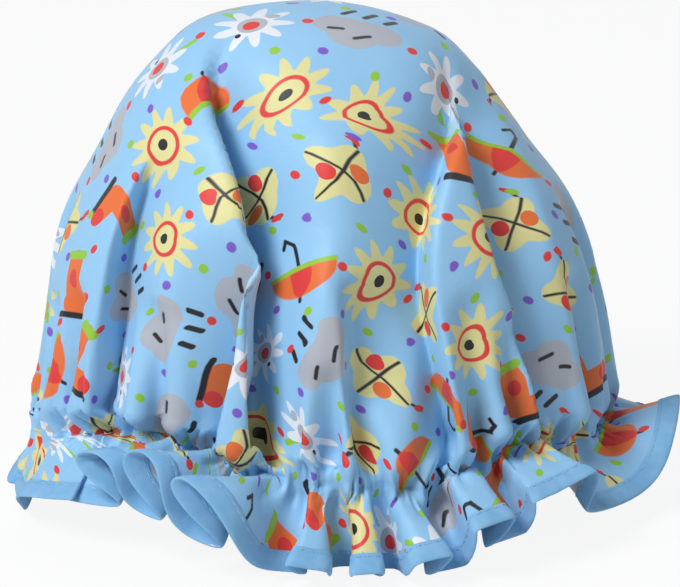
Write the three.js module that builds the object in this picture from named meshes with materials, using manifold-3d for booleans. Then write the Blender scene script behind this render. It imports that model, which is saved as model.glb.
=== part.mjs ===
// Frilled fabric shower cap, standing on its mouth with the crown up.
// One round cloth is gathered onto an elastic; the cloth below the elastic flutes into a frill,
// and a folded tape binds the frill's edge. Millimetres, +Z up, the photographed side faces -Y.
import * as THREE from "three";
import { mergeVertices } from "three/addons/utils/BufferGeometryUtils.js";
import Module from "manifold-3d";

// Driving dimensions
const OPENING_WIDTH = 194; // across the gathered elastic line, ear to ear
const OPENING_DEPTH = 164; // across the elastic line, forehead to nape
const ELASTIC_HEIGHT = 27; // elastic line above the surface the cap stands on
const CROWN_HEIGHT = 149; // elastic line to the top of the crown
const CROWN_PUFF = 6; // how far the crown swells out past the elastic line
const PUFF_HEIGHT = 20; // height over which that swelling grows
const FOLD_FOOT = 3; // height above the elastic line where the crown's folds begin
const FOLD_RISE = 15; // height over which they reach their depth
const FRILL_DEPTH = 30; // cloth from the elastic line to the frill's edge
const CLOTH_WALL = 1.2; // solid stand-in for a much thinner cloth
const BINDING_WIDTH = 7; // visible width of the folded tape
const BINDING_WALL = 0.9;
const ELASTIC_WIDTH = 5;
const ELASTIC_WALL = 0.8;
const ELASTIC_LAP = 12; // overlap where the elastic's two ends are sewn together
const SEWN_GAP = 0.3; // clearance between pieces that are sewn face to face
const FLOOR_CUT = 0.7; // depth of the flats on which the frill stands
const FLOOR_EASE = 2; // height over which the frill bends to lie along the floor

// The elastic line is an oval, drawn in and lifted at a few places round the front.
// Angles are in degrees: -90 is the front, 0 the right side, as seen from the front.
const RING_DENTS = [
  { at: -130, spread: 28, inward: 15, lift: 13 },
  { at: -90, spread: 26, inward: 0, lift: 2 },
  { at: -68, spread: 9, inward: 0, lift: -4 },
  { at: -46, spread: 27, inward: 7, lift: 9 },
];

// The dome's profile: its width falls off as (1 - height^roundness)^fullness, height as a share.
// The left side, as seen from the front, is rounder and fuller by these amounts than the middle.
const DOME_ROUNDNESS = 2.4;
const DOME_FULLNESS = 0.49;
const SIDE_ROUNDNESS = 0.2;
const SIDE_FULLNESS = 0.03;

// Folds of the crown, in order round it. Each is a valley that runs up from the gathers through its
// angles at the elastic, half way and at its upper end, the share of the crown's height it reaches.
// It has a depth at those three places, and a left and a right flank that spread so far at its foot
// and at its upper end. A tuck slips its floor sideways under a flank, to the right when positive.
const FOLDS = [
  { angles: [-153, -151, -150], reach: 0.42, depths: [12, 10, 3], left: [6, 8], right: [6, 8], tuck: 0 },
  { angles: [-139, -136, -133], reach: 0.76, depths: [15, 16, 7], left: [6, 5], right: [12, 22], tuck: -6 },
  { angles: [-126, -125, -124], reach: 0.42, depths: [12, 10, 3], left: [6, 9], right: [6, 9], tuck: 0 },
  { angles: [-115, -111, -104], reach: 0.6, depths: [16, 16, 3], left: [14, 14], right: [5, 6], tuck: 6 },
  { angles: [-98, -101, -152], reach: 0.99, depths: [18, 28, 11], left: [5, 6], right: [5, 26], tuck: -6 },
  { angles: [-89, -88, -88], reach: 0.32, depths: [12, 9, 2], left: [6, 8], right: [6, 8], tuck: 0 },
  { angles: [-80, -81, -83], reach: 0.54, depths: [14, 13, 3], left: [5, 6], right: [8, 13], tuck: -4 },
  { angles: [-65, -72, -14], reach: 0.93, depths: [16, 19, 9], left: [9, 32], right: [5, 5], tuck: 7 },
  { angles: [-55, -58, -60], reach: 0.46, depths: [12, 9, 2], left: [6, 9], right: [6, 9], tuck: 0 },
  { angles: [-46, -49, -51], reach: 0.38, depths: [11, 9, 2], left: [5, 8], right: [5, 8], tuck: 0 },
  { angles: [-36, -44, -14], reach: 0.93, depths: [16, 18, 8], left: [7, 5], right: [8, 30], tuck: -6 },
  { angles: [-22, -23, -24], reach: 0.44, depths: [12, 10, 3], left: [6, 9], right: [6, 9], tuck: 0 },
  { angles: [-8, -9, -11], reach: 0.6, depths: [13, 13, 4], left: [6, 9], right: [7, 12], tuck: -3 },
  { angles: [6, 5, 4], reach: 0.42, depths: [12, 9, 3], left: [6, 9], right: [6, 9], tuck: 0 },
  { angles: [20, 16, 12], reach: 0.72, depths: [15, 15, 6], left: [6, 8], right: [10, 20], tuck: -5 },
  { angles: [33, 32, 31], reach: 0.4, depths: [12, 9, 3], left: [6, 9], right: [6, 9], tuck: 0 },
  { angles: [46, 49, 20], reach: 0.92, depths: [16, 20, 8], left: [9, 26], right: [5, 6], tuck: 6 },
  { angles: [60, 61, 62], reach: 0.44, depths: [12, 10, 3], left: [6, 9], right: [6, 9], tuck: 0 },
  { angles: [74, 72, 88], reach: 0.84, depths: [15, 18, 6], left: [5, 6], right: [10, 24], tuck: -6 },
  { angles: [88, 88, 89], reach: 0.38, depths: [12, 9, 3], left: [6, 9], right: [6, 9], tuck: 0 },
  { angles: [102, 103, 105], reach: 0.55, depths: [13, 12, 4], left: [7, 10], right: [6, 8], tuck: 3 },
  { angles: [116, 121, 150], reach: 0.96, depths: [16, 22, 9], left: [8, 28], right: [5, 6], tuck: 6 },
  { angles: [130, 131, 132], reach: 0.42, depths: [12, 10, 3], left: [6, 9], right: [6, 9], tuck: 0 },
  { angles: [143, 142, 144], reach: 0.56, depths: [13, 12, 4], left: [6, 8], right: [7, 10], tuck: -3 },
  { angles: [157, 160, 161], reach: 0.78, depths: [15, 17, 6], left: [10, 18], right: [6, 6], tuck: 5 },
  { angles: [170, 170, 170], reach: 0.4, depths: [12, 9, 3], left: [6, 9], right: [6, 9], tuck: 0 },
  { angles: [183, 184, 186], reach: 0.62, depths: [14, 13, 4], left: [6, 8], right: [9, 13], tuck: -4 },
  { angles: [195, 196, 197], reach: 0.38, depths: [12, 9, 3], left: [6, 9], right: [6, 9], tuck: 0 },
];
const FOLD_FADE = 0.84; // share of a fold's course above which it dies out
const FOLD_FLOOR = 3; // radius of a fold's floor
const FOLD_LIP = 0.14; // rounding of a fold's lips, as a share of its flank
const FLANK_LEAST = 8; // narrowest flank that the thick wall can follow
const TUCK_SHARE = 0.4; // share of a tuck that it can follow

// Broad stretches of the crown that lie flat, or stand out where the depth is negative.
const DOME_FLATS = [
  { at: 182, spread: 45, share: 0.72, shareSpread: 0.16, depth: 4.5 },
  { at: 185, spread: 50, share: 0.33, shareSpread: 0.32, depth: 5 },
  { at: -80, spread: 38, share: 0.88, shareSpread: 0.07, depth: 5 },
  { at: -2, spread: 35, share: 0.7, shareSpread: 0.1, depth: 3 },
  { at: 8, spread: 35, share: 0.89, shareSpread: 0.06, depth: -2.5 },
];

// Flutes of the frill, in order round it: the angle of each outward crest, how far it swings out and
// how far its edge leans to the right.
const FLUTES = [
  { at: -150, swing: 9, lean: 0 },
  { at: -124, swing: 10, lean: 2 },
  { at: -113, swing: 10, lean: 2 },
  { at: -102, swing: 12, lean: 5 },
  { at: -93, swing: 10, lean: 0 },
  { at: -83, swing: 10, lean: -2 },
  { at: -70, swing: 11, lean: 4 },
  { at: -57, swing: 12, lean: 4 },
  { at: -45, swing: 10, lean: 2 },
  { at: -22, swing: 12, lean: 0 },
  { at: 12, swing: 11, lean: 0 },
  { at: 29, swing: 10, lean: -3 },
  { at: 44, swing: 10, lean: 2 },
  { at: 60, swing: 11, lean: 3 },
  { at: 76, swing: 10, lean: 0 },
  { at: 91, swing: 10, lean: -2 },
  { at: 107, swing: 11, lean: -3 },
  { at: 122, swing: 10, lean: 2 },
  { at: 137, swing: 10, lean: 3 },
  { at: 151, swing: 10, lean: -2 },
  { at: 168, swing: 8, lean: 0 },
];
const FLUTE_ROUNDING = 0.16; // sideways swing that rounds the crests, as a share of a flute's width
const ROUNDING_MOST = 6; // most of that swing, in the widest flutes

// The frill hangs from the elastic at this slant from straight down, wider or steeper at some places.
const FRILL_SLANT = 38;
const SLANT_CHANGES = [
  { at: -122, spread: 30, by: 32 },
  { at: -72, spread: 18, by: -10 },
  { at: -48, spread: 14, by: 10 },
  { at: -6, spread: 26, by: 38 },
  { at: 168, spread: 20, by: -18 },
];

// Where columns and rows of the facets run
const CROWN_COLUMNS = 180;
const LONG_REACH = 0.9; // folds that reach past this share take the crown's columns along with them
const CROWN_ROWS = [0.035, 0.08, 0.14, 0.22, 0.31, 0.41, 0.52, 0.63, 0.73, 0.82, 0.895, 0.95, 0.985];
const FLUTE_COLUMNS = 8;
const FRILL_MIDDLE = 0.42; // share of the frill's depth where its middle row runs
const ELASTIC_COLUMNS = 72;
const LAP_ANGLE = 90; // the elastic's ends lap at the back
const LAP_STEP = 0.5; // degrees over which the lap's second layer starts
const ANGLE_STEP = 0.5; // degrees between the points that give the elastic line's direction

const smooth = (from, to, value) => THREE.MathUtils.smoothstep(value, from, to);
const bell = (distance, spread) => Math.exp(-((distance / spread) ** 2));
const around = (index, count) => ((index % count) + count) % count;

/** The signed difference of two angles, in degrees, from -180 to 180. */
const turn = (from, to) => around(to - from + 180, 360) - 180;

/** The sum of one property over a list of places, each fading with its angle from `degrees`. */
function gathered(list, degrees, property) {
  return list.reduce((sum, p) => sum + p[property] * bell(turn(p.at, degrees), p.spread), 0);
}

/** The elastic line at an angle, drawn in by its dents. */
function ringPoint(degrees) {
  const a = THREE.MathUtils.degToRad(degrees);
  const inward = gathered(RING_DENTS, degrees, "inward");
  return new THREE.Vector3(
    (OPENING_WIDTH / 2 - inward) * Math.cos(a),
    (OPENING_DEPTH / 2 - inward) * Math.sin(a),
    ELASTIC_HEIGHT + gathered(RING_DENTS, degrees, "lift"),
  );
}

/** The elastic line with its level outward direction and its direction of travel. */
function ringFrame(degrees) {
  const ahead = ringPoint(degrees + ANGLE_STEP);
  const along = ahead.sub(ringPoint(degrees - ANGLE_STEP)).setZ(0).normalize();
  return { point: ringPoint(degrees), along, out: new THREE.Vector3(along.y, -along.x, 0) };
}

const frillSlant = (degrees) =>
  THREE.MathUtils.degToRad(FRILL_SLANT + gathered(SLANT_CHANGES, degrees, "by"));

/** How far each cloth stays back from the elastic line, so that the bend between them is clear. */
function seamSetback(degrees) {
  const bend = frillSlant(degrees) + Math.atan2(2 * CROWN_PUFF, PUFF_HEIGHT);
  return (CLOTH_WALL / 2) * Math.tan(bend / 2) + SEWN_GAP / 2;
}

/** A smooth course through three values, at parts 0, a half and 1. */
function through([first, middle, last], part) {
  const bend = 2 * (first + last) - 4 * middle;
  return first + (last - first - bend) * part + bend * part * part;
}

/** The angle of a fold at a part of its course: straight to the half, then sweeping to its end. */
function foldAngle([foot, middle, end], part) {
  return part < 0.5 ? foot + (middle - foot) * 2 * part : middle + (end - middle) * (2 * part - 1) ** 3;
}

/** A fold's section: 1 at its rounded floor, falling along a straight flank to 0 at the spread. */
function foldSection(apart, spread) {
  const flank = 1 - (Math.hypot(apart, FOLD_FLOOR) - FOLD_FLOOR) / spread;
  return (flank + Math.hypot(flank, FOLD_LIP)) / (1 + Math.hypot(1, FOLD_LIP));
}

/** How strongly a fold acts at an angle and a height share, and at which part of its course. */
function foldAction(fold, degrees, share, radius) {
  const part = Math.min(share / fold.reach, 1);
  const apart = THREE.MathUtils.degToRad(turn(foldAngle(fold.angles, part), degrees)) * radius;
  const spread = THREE.MathUtils.lerp(...(apart < 0 ? fold.left : fold.right), part);
  const left = 1 - smooth(FOLD_FADE, 1, part);
  return { part, strength: left * foldSection(apart, Math.max(spread, FLANK_LEAST)) };
}

/** How deep the folds and flats press in at this place, and how far they slip along the crown. */
function pressedIn(degrees, share, radius) {
  const flat = DOME_FLATS.reduce(
    (sum, f) => sum + f.depth * bell(turn(f.at, degrees), f.spread) * bell(share - f.share, f.shareSpread),
    0,
  );
  return FOLDS.reduce(
    ({ depth, slip }, fold) => {
      const { part, strength } = foldAction(fold, degrees, share, radius);
      return {
        depth: depth + through(fold.depths, part) * strength,
        slip: slip + fold.tuck * TUCK_SHARE * strength,
      };
    },
    { depth: flat, slip: 0 },
  );
}

/** The crown's cloth at an angle and a share of its height: a soft dome with pressed-in folds. */
function crownPoint(degrees, share) {
  const a = THREE.MathUtils.degToRad(degrees);
  const ring = ringPoint(degrees);
  const puffed = smooth(0, PUFF_HEIGHT / CROWN_HEIGHT, share);
  const full = new THREE.Vector3(
    (OPENING_WIDTH / 2 + CROWN_PUFF) * Math.cos(a),
    (OPENING_DEPTH / 2 + CROWN_PUFF) * Math.sin(a),
    0,
  );
  const roundness = DOME_ROUNDNESS - SIDE_ROUNDNESS * Math.cos(a);
  const fullness = DOME_FULLNESS + SIDE_FULLNESS * Math.cos(a);
  const closing = (1 - share ** roundness) ** fullness;
  const point = ring.clone().setZ(0).lerp(full, puffed).multiplyScalar(closing);
  const pressed = pressedIn(degrees, share, point.length());
  const risen = smooth(FOLD_FOOT, FOLD_FOOT + FOLD_RISE, share * CROWN_HEIGHT);
  const [depth, slip] = [pressed.depth * risen, pressed.slip * risen];
  const level = Math.sqrt(1 - share * share);
  point.x -= depth * level * Math.cos(a) + slip * Math.sin(a);
  point.y -= depth * level * Math.sin(a) - slip * Math.cos(a);
  point.z = THREE.MathUtils.lerp(ring.z, ELASTIC_HEIGHT + CROWN_HEIGHT, share) - depth * share;
  return point;
}

/** The frill's mid-line lies no lower than this, so that its binding is cut by the floor. */
const FLOOR_REST = CLOTH_WALL / 2 + SEWN_GAP + BINDING_WALL - FLOOR_CUT;

/** A height bent smoothly so that it never falls below the floor's rest height. */
function aboveFloor(z) {
  const over = z - FLOOR_REST - FLOOR_EASE;
  return over > 0 ? z : FLOOR_REST + FLOOR_EASE * Math.exp(over / FLOOR_EASE);
}

/** The angle of a place counted in flutes, and how the frill swings there. */
function fluteAt(place) {
  const index = Math.floor(place);
  const [flute, next] = [FLUTES[index], FLUTES[around(index + 1, FLUTES.length)]];
  const part = place - index;
  const gap = around(next.at - flute.at, 360);
  const width = (THREE.MathUtils.degToRad(gap) * (OPENING_WIDTH + OPENING_DEPTH)) / 4;
  return {
    degrees: flute.at + gap * part,
    swing: THREE.MathUtils.lerp(flute.swing, next.swing, part),
    lean: THREE.MathUtils.lerp(flute.lean, next.lean, part),
    rounding: Math.min(FLUTE_ROUNDING * width, ROUNDING_MOST),
    wave: 2 * Math.PI * part,
  };
}

/** The frill's cloth at a place counted in flutes and a share of its depth below the seam. */
function frillPoint(place, share) {
  const { degrees, swing, lean, rounding, wave } = fluteAt(place);
  const { point, along, out } = ringFrame(degrees);
  const slant = frillSlant(degrees);
  const up = new THREE.Vector3(0, 0, 1);
  const down = out.clone().multiplyScalar(Math.sin(slant)).addScaledVector(up, -Math.cos(slant));
  const face = out.clone().multiplyScalar(Math.cos(slant)).addScaledVector(up, Math.sin(slant));
  const sideways = rounding * Math.sin(2 * wave) + (lean * share * (1 + Math.cos(wave))) / 2;
  point.addScaledVector(down, THREE.MathUtils.lerp(seamSetback(degrees), FRILL_DEPTH, share));
  point.addScaledVector(face, swing * share * Math.cos(wave));
  point.addScaledVector(along, sideways * share);
  point.z = aboveFloor(point.z);
  return point;
}

/** A geometry from points and triangles. */
function geometryFrom(points, triangles) {
  const geometry = new THREE.BufferGeometry().setFromPoints(points);
  geometry.setIndex(triangles);
  return geometry;
}

/** Two triangles between columns i and j of row a and row b, facing out where b lies above a. */
const quad = (a, b, i, j) => [a + i, a + j, b + j, a + i, b + j, b + i];

/** The same two triangles, facing in. */
const quadInward = (a, b, i, j) => [a + j, a + i, b + j, b + j, a + i, b + i];

/** The outward direction of a closed grid of rows at one of its points. */
function gridNormal(rows, r, c) {
  const row = rows[r];
  const ahead = row[around(c + 1, row.length)].clone().sub(row[c]).normalize();
  const across = ahead.add(row[c].clone().sub(row[around(c - 1, row.length)]).normalize());
  const above = rows[Math.min(r + 1, rows.length - 1)][c];
  const under = rows[Math.max(r - 1, 0)][c];
  return across.cross(above.clone().sub(under)).normalize();
}

/** A cloth of even wall from rows of mid-wall points round the cap, the lowest row first. */
function clothShell(rows, top) {
  const count = rows[0].length;
  const face = (side) =>
    rows.flatMap((row, r) =>
      row.map((p, c) => p.clone().addScaledVector(gridNormal(rows, r, c), (side * CLOTH_WALL) / 2)),
    );
  const points = [...face(1), ...face(-1)];
  const inside = rows.length * count;
  const last = (rows.length - 1) * count;
  const triangles = [];
  for (let c = 0; c < count; c++) {
    const next = around(c + 1, count);
    for (let r = 0; r < rows.length - 1; r++) {
      triangles.push(...quad(r * count, (r + 1) * count, c, next));
      triangles.push(...quadInward(inside + r * count, inside + (r + 1) * count, c, next));
    }
    triangles.push(...quad(inside, 0, c, next));
    if (top) {
      triangles.push(last + c, last + next, points.length);
      triangles.push(inside + last + next, inside + last + c, points.length + 1);
    } else {
      triangles.push(...quad(last, inside + last, c, next));
    }
  }
  if (top) {
    const up = new THREE.Vector3(0, 0, CLOTH_WALL / 2);
    points.push(top.clone().add(up), top.clone().sub(up));
  }
  return geometryFrom(points, triangles);
}

/**
 * A closed loop of one section, given as the section's points at each station round the cap.
 * The sides that `crossed` lists split their quads the other way, as the cloth beside them does.
 */
function sectionLoop(stations, crossed = []) {
  const sides = stations[0].length;
  const triangles = [];
  stations.forEach((_, s) => {
    const a = s * sides;
    const b = around(s + 1, stations.length) * sides;
    for (let k = 0; k < sides; k++) {
      const next = around(k + 1, sides);
      const split = crossed.includes(k) ? [a + next, b + k] : [b + next, a + k];
      triangles.push(a + k, b + k, split[0], split[1], b + next, a + next);
    }
  });
  return geometryFrom(stations.flat(), triangles);
}

/** The angles of the crown's columns at the elastic line. */
const CROWN_ANGLES = Array.from({ length: CROWN_COLUMNS }, (_unused, i) => (i * 360) / CROWN_COLUMNS);

const LONG_FOLDS = FOLDS.filter((fold) => fold.reach > LONG_REACH);

/** The angle of a column at a height share: it leans with the long folds on either side of it. */
function columnAngle(foot, share) {
  const past = LONG_FOLDS.map((fold) => around(foot - fold.angles[0], 360));
  const index = past.indexOf(Math.min(...past));
  const [fold, next] = [LONG_FOLDS[index], LONG_FOLDS[around(index + 1, LONG_FOLDS.length)]];
  const lean = (f) => foldAngle(f.angles, Math.min(share / f.reach, FOLD_FADE)) - f.angles[0];
  const part = past[index] / around(next.angles[0] - fold.angles[0], 360);
  return foot + THREE.MathUtils.lerp(lean(fold), lean(next), part);
}

/** The crown: a folded dome that is open at the elastic line. */
function crownGeometry() {
  const hem = CROWN_ANGLES.map((degrees) => crownPoint(degrees, seamSetback(degrees) / CROWN_HEIGHT));
  const dome = CROWN_ROWS.map((share) =>
    CROWN_ANGLES.map((foot) => crownPoint(columnAngle(foot, share), share)),
  );
  return clothShell([hem, ...dome], new THREE.Vector3(0, 0, ELASTIC_HEIGHT + CROWN_HEIGHT));
}

const FLUTE_PLACES = FLUTES.flatMap((_, i) =>
  Array.from({ length: FLUTE_COLUMNS }, (_unused, k) => i + k / FLUTE_COLUMNS),
);

/** The rows of the frill's cloth: its edge, the binding's inner edge, its middle and the seam. */
function frillRows() {
  const shares = [1, 1 - BINDING_WIDTH / FRILL_DEPTH, FRILL_MIDDLE, 0];
  return shares.map((share) => FLUTE_PLACES.map((place) => frillPoint(place, share)));
}

/** The folded tape: a U section that wraps the frill's edge on both faces. */
function bindingGeometry(rows) {
  const inner = CLOTH_WALL / 2 + SEWN_GAP;
  const outer = inner + BINDING_WALL;
  const [edges, hems] = rows;
  const stations = edges.map((edge, c) => {
    const out = edge.clone().sub(hems[c]).normalize();
    const [edgeFace, hemFace] = [gridNormal(rows, 0, c), gridNormal(rows, 1, c)];
    const atEdge = (up, along = 0) =>
      edge.clone().addScaledVector(edgeFace, up).addScaledVector(out, along);
    const atHem = (up) => hems[c].clone().addScaledVector(hemFace, up);
    return [
      atHem(-outer), atEdge(-outer), atEdge(0, outer), atEdge(outer), atHem(outer),
      atHem(inner), atEdge(inner, SEWN_GAP), atEdge(-inner, SEWN_GAP), atHem(-inner),
    ];
  });
  const underside = 0;
  const cavity = [5, 6];
  return sectionLoop(stations, [underside, ...cavity]);
}

/** The angles of the elastic's stations, with a short step at each end of its lap. */
function elasticAngles(lapTurn) {
  const step = 360 / ELASTIC_COLUMNS;
  const even = Array.from({ length: ELASTIC_COLUMNS }, (_unused, i) => i * step);
  const lap = [-lapTurn - LAP_STEP, -lapTurn, lapTurn, lapTurn + LAP_STEP].map((a) => LAP_ANGLE + a);
  const clear = even.filter((degrees) => Math.abs(turn(LAP_ANGLE, degrees)) > lapTurn + 2 * LAP_STEP);
  return [...clear, ...lap].sort((a, b) => a - b);
}

/** The most that the crown's facets cut inside the true elastic line. */
function facetSag() {
  const half = 180 / CROWN_COLUMNS;
  const sags = CROWN_ANGLES.map((degrees) => {
    const chord = ringPoint(degrees - half).lerp(ringPoint(degrees + half), 0.5);
    return chord.distanceTo(ringPoint(degrees));
  });
  return Math.max(...sags);
}

/** The elastic: a flat band inside the gather line, twice as thick where its ends lap. */
function elasticGeometry() {
  const outside = -CLOTH_WALL / 2 - SEWN_GAP - facetSag();
  const half = ELASTIC_WIDTH / 2;
  const lapTurn = THREE.MathUtils.radToDeg(ELASTIC_LAP / OPENING_DEPTH);
  const stations = elasticAngles(lapTurn).map((degrees) => {
    const { point, out } = ringFrame(degrees);
    const layers = Math.abs(turn(LAP_ANGLE, degrees)) < lapTurn + LAP_STEP / 2 ? 2 : 1;
    const inside = outside - layers * ELASTIC_WALL;
    const section = [[inside, -half], [outside, -half], [outside, half], [inside, half]];
    return section.map(([across, up]) =>
      point.clone().addScaledVector(out, across).add(new THREE.Vector3(0, 0, up)),
    );
  });
  return sectionLoop(stations);
}

const wasm = await Module();
wasm.setup();

/** A geometry as a solid that can be cut. */
function solidFrom(geometry) {
  const bare = geometry.clone();
  bare.deleteAttribute("normal");
  bare.deleteAttribute("uv");
  const merged = mergeVertices(bare);
  return new wasm.Manifold(
    new wasm.Mesh({
      numProp: 3,
      vertProperties: new Float32Array(merged.attributes.position.array),
      triVerts: new Uint32Array(merged.index.array),
    }),
  );
}

/** A geometry with everything below the floor cut away. */
function cutAtFloor(geometry) {
  const size = 4 * (OPENING_WIDTH + FRILL_DEPTH);
  const floor = new THREE.BoxGeometry(size, size, ELASTIC_HEIGHT).translate(0, 0, -ELASTIC_HEIGHT / 2);
  const mesh = solidFrom(geometry).subtract(solidFrom(floor)).getMesh();
  const points = [];
  for (let i = 0; i < mesh.vertProperties.length; i += mesh.numProp) {
    points.push(new THREE.Vector3().fromArray(mesh.vertProperties, i));
  }
  return geometryFrom(points, Array.from(mesh.triVerts));
}

/** A named piece with its own plain finish. */
function piece(name, geometry, color, roughness) {
  geometry.computeVertexNormals();
  const material = new THREE.MeshStandardMaterial({ color, roughness, metalness: 0 });
  const mesh = new THREE.Mesh(geometry, material);
  mesh.name = name;
  return mesh;
}

const rows = frillRows();
const cap = new THREE.Group();
cap.add(
  piece("crown_fabric", crownGeometry(), 0x9fcfee, 0.5),
  piece("frill_fabric", clothShell(rows), 0x9fcfee, 0.5),
  piece("edge_binding", cutAtFloor(bindingGeometry(rows)), 0x86c3ea, 0.6),
  piece("elastic_band", elasticGeometry(), 0xf2f2ee, 0.8),
);

// The origin is at the middle of the cap's outline, on the floor.
const box = new THREE.Box3().setFromObject(cap, true);
const middle = box.getCenter(new THREE.Vector3());
cap.position.set(-middle.x, -middle.y, 0);

export default cap;
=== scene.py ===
"""Frilled shower cap of printed coated polyester, standing on its mouth with the crown up.

The cap is one round disc of cloth, drawn in by an elastic: the crown above the stitch line, the frill
below it. Lengths are millimetres and angles degrees (0 is the cap's right, -90 its front) until a mesh
is made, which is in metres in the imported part's frame.
"""

import logging
import math
from dataclasses import dataclass
from enum import Enum
from functools import cached_property
from typing import Any

import bpy
import numpy as np
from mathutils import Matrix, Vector

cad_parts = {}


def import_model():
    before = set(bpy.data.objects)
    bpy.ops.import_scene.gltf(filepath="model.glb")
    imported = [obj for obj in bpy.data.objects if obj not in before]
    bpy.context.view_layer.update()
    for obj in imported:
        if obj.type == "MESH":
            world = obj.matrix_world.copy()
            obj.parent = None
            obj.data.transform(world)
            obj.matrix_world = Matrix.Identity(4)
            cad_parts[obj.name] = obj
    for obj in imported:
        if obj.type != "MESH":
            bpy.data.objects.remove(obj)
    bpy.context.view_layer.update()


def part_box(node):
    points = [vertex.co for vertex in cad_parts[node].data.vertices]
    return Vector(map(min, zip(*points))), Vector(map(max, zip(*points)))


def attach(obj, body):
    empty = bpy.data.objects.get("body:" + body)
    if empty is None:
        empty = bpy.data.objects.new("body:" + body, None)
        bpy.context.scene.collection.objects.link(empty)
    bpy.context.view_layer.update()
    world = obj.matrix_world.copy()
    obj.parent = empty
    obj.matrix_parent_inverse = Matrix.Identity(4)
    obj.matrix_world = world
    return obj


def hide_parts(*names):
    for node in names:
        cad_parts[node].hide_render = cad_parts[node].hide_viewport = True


LOG = logging.getLogger("shower_cap")
MM = 0.001
FLAT_UV = "flat_cloth"
NO_CUT = -99.0


def bell(distance: np.ndarray, spread: np.ndarray | float) -> np.ndarray:
    """Return a rounded bump, 1 at no distance and about a third at the spread."""
    return np.exp(-((distance / spread) ** 2))


def ease(low: float, high: float, value: np.ndarray) -> np.ndarray:
    """Return a smooth step from 0 at low to 1 at high."""
    part = np.clip((value - low) / (high - low), 0.0, 1.0)
    return part * part * (3.0 - 2.0 * part)


def tent(distance: np.ndarray, spread: np.ndarray | float, floor: float, lip: float) -> np.ndarray:
    """Return a crisp fold's section, 1 at its floor, falling along straight flanks to 0 at the spread.

    Args:
        distance: Distances across the fold.
        spread: How far its flank reaches.
        floor: Radius of its rounded floor.
        lip: Rounding of its lips, as a share of the spread.

    Returns:
        Shares of the fold's depth.
    """
    flank = 1.0 - (np.hypot(distance, floor) - floor) / spread
    return (flank + np.hypot(flank, lip)) / (1.0 + math.hypot(1.0, lip))


def turn(start: np.ndarray | float, end: np.ndarray | float) -> np.ndarray:
    """Return the angle from start to end, the short way round, in degrees."""
    return np.mod(np.asarray(end) - start + 180.0, 360.0) - 180.0


def through(values: tuple[float, float, float], part: np.ndarray) -> np.ndarray:
    """Return a smooth course through three values.

    Args:
        values: The values at parts 0, a half and 1.
        part: Parts of the way.

    Returns:
        The values there.
    """
    first, middle, last = values
    bend = 2.0 * (first + last) - 4.0 * middle
    return first + (last - first - bend) * part + bend * part ** 2


def unit(vectors: np.ndarray) -> np.ndarray:
    """Return the vectors at length 1."""
    return vectors / np.maximum(np.linalg.norm(vectors, axis=-1, keepdims=True), 1e-9)


def lengths_along(points: np.ndarray) -> np.ndarray:
    """Return the length of a line of points up to each of them."""
    return np.concatenate(([0.0], np.cumsum(np.linalg.norm(np.diff(points, axis=0), axis=-1))))


def linear(hex_colour: str) -> tuple[float, float, float, float]:
    """Turn an sRGB hex colour into the linear RGBA that a shader socket takes.

    Args:
        hex_colour: A colour such as "#9ecaea".

    Returns:
        Linear red, green, blue and an alpha of 1.
    """
    shares = [int(hex_colour[place:place + 2], 16) / 255.0 for place in (1, 3, 5)]
    red, green, blue = (s / 12.92 if s <= 0.04045 else ((s + 0.055) / 1.055) ** 2.4 for s in shares)
    return red, green, blue, 1.0


def add(tree: bpy.types.NodeTree, kind: str, inputs: dict[str | int, Any] | None = None,
        **settings: Any) -> bpy.types.Node:
    """Add a node with its settings, and link or set its inputs.

    Args:
        tree: The node tree that gets the node.
        kind: The node's type name.
        inputs: Values, sockets, or nodes whose first socket is meant, by the input's name or place.
        **settings: Properties of the node.

    Returns:
        The new node.
    """
    node = tree.nodes.new(kind)
    for name, value in settings.items():
        setattr(node, name, value)
    for key, value in (inputs or {}).items():
        if isinstance(value, bpy.types.Node):
            value = value.outputs[0]
        if isinstance(value, bpy.types.NodeSocket):
            tree.links.new(value, node.inputs[key])
        else:
            node.inputs[key].default_value = value
    return node


def bare_material(name: str) -> tuple[bpy.types.Material, bpy.types.NodeTree]:
    """Make a material with an empty node tree.

    Args:
        name: The material's name.

    Returns:
        The material and its tree.
    """
    material = bpy.data.materials.new(name)
    material.use_nodes = True
    material.node_tree.nodes.clear()
    return material, material.node_tree


@dataclass(frozen=True)
class Fold:
    """A valley in the crown that runs up from the gathers.

    Attributes:
        angles: Its angle at the elastic, half way up and at its upper end.
        reach: Share of the crown's height at which it ends.
        depths: Its depth at the same three places.
        left: Spread of its left flank at the foot and at the upper end; a small one is steep.
        right: Spread of its right flank, in the same way.
        tuck: How far the valley's floor slips sideways under a flank, to the right when positive.
    """

    angles: tuple[float, float, float]
    reach: float
    depths: tuple[float, float, float]
    left: tuple[float, float]
    right: tuple[float, float]
    tuck: float = 0.0


@dataclass(frozen=True)
class Facet:
    """A broad stretch of the crown that falls in flat, or stands out where its depth is below nought."""

    at: float
    spread: float
    share: float
    share_spread: float
    depth: float


@dataclass(frozen=True)
class RingDent:
    """A stretch of the elastic that is pushed in and lifted, or lowered, off its oval."""

    at: float
    spread: float
    inward: float
    lift: float


@dataclass(frozen=True)
class Flute:
    """One outward crest of the frill.

    Attributes:
        at: Its angle.
        swing: How far the cloth swings out there, and in on both sides.
        lean: How far its edge leans to the right.
        flatness: How flat its front is; near nought it is a round loop.
    """

    at: float
    swing: float
    lean: float = 0.0
    flatness: float = 0.8


@dataclass(frozen=True)
class SlantChange:
    """A stretch of the frill that stands steeper or flatter than the rest."""

    at: float
    spread: float
    by: float


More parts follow.
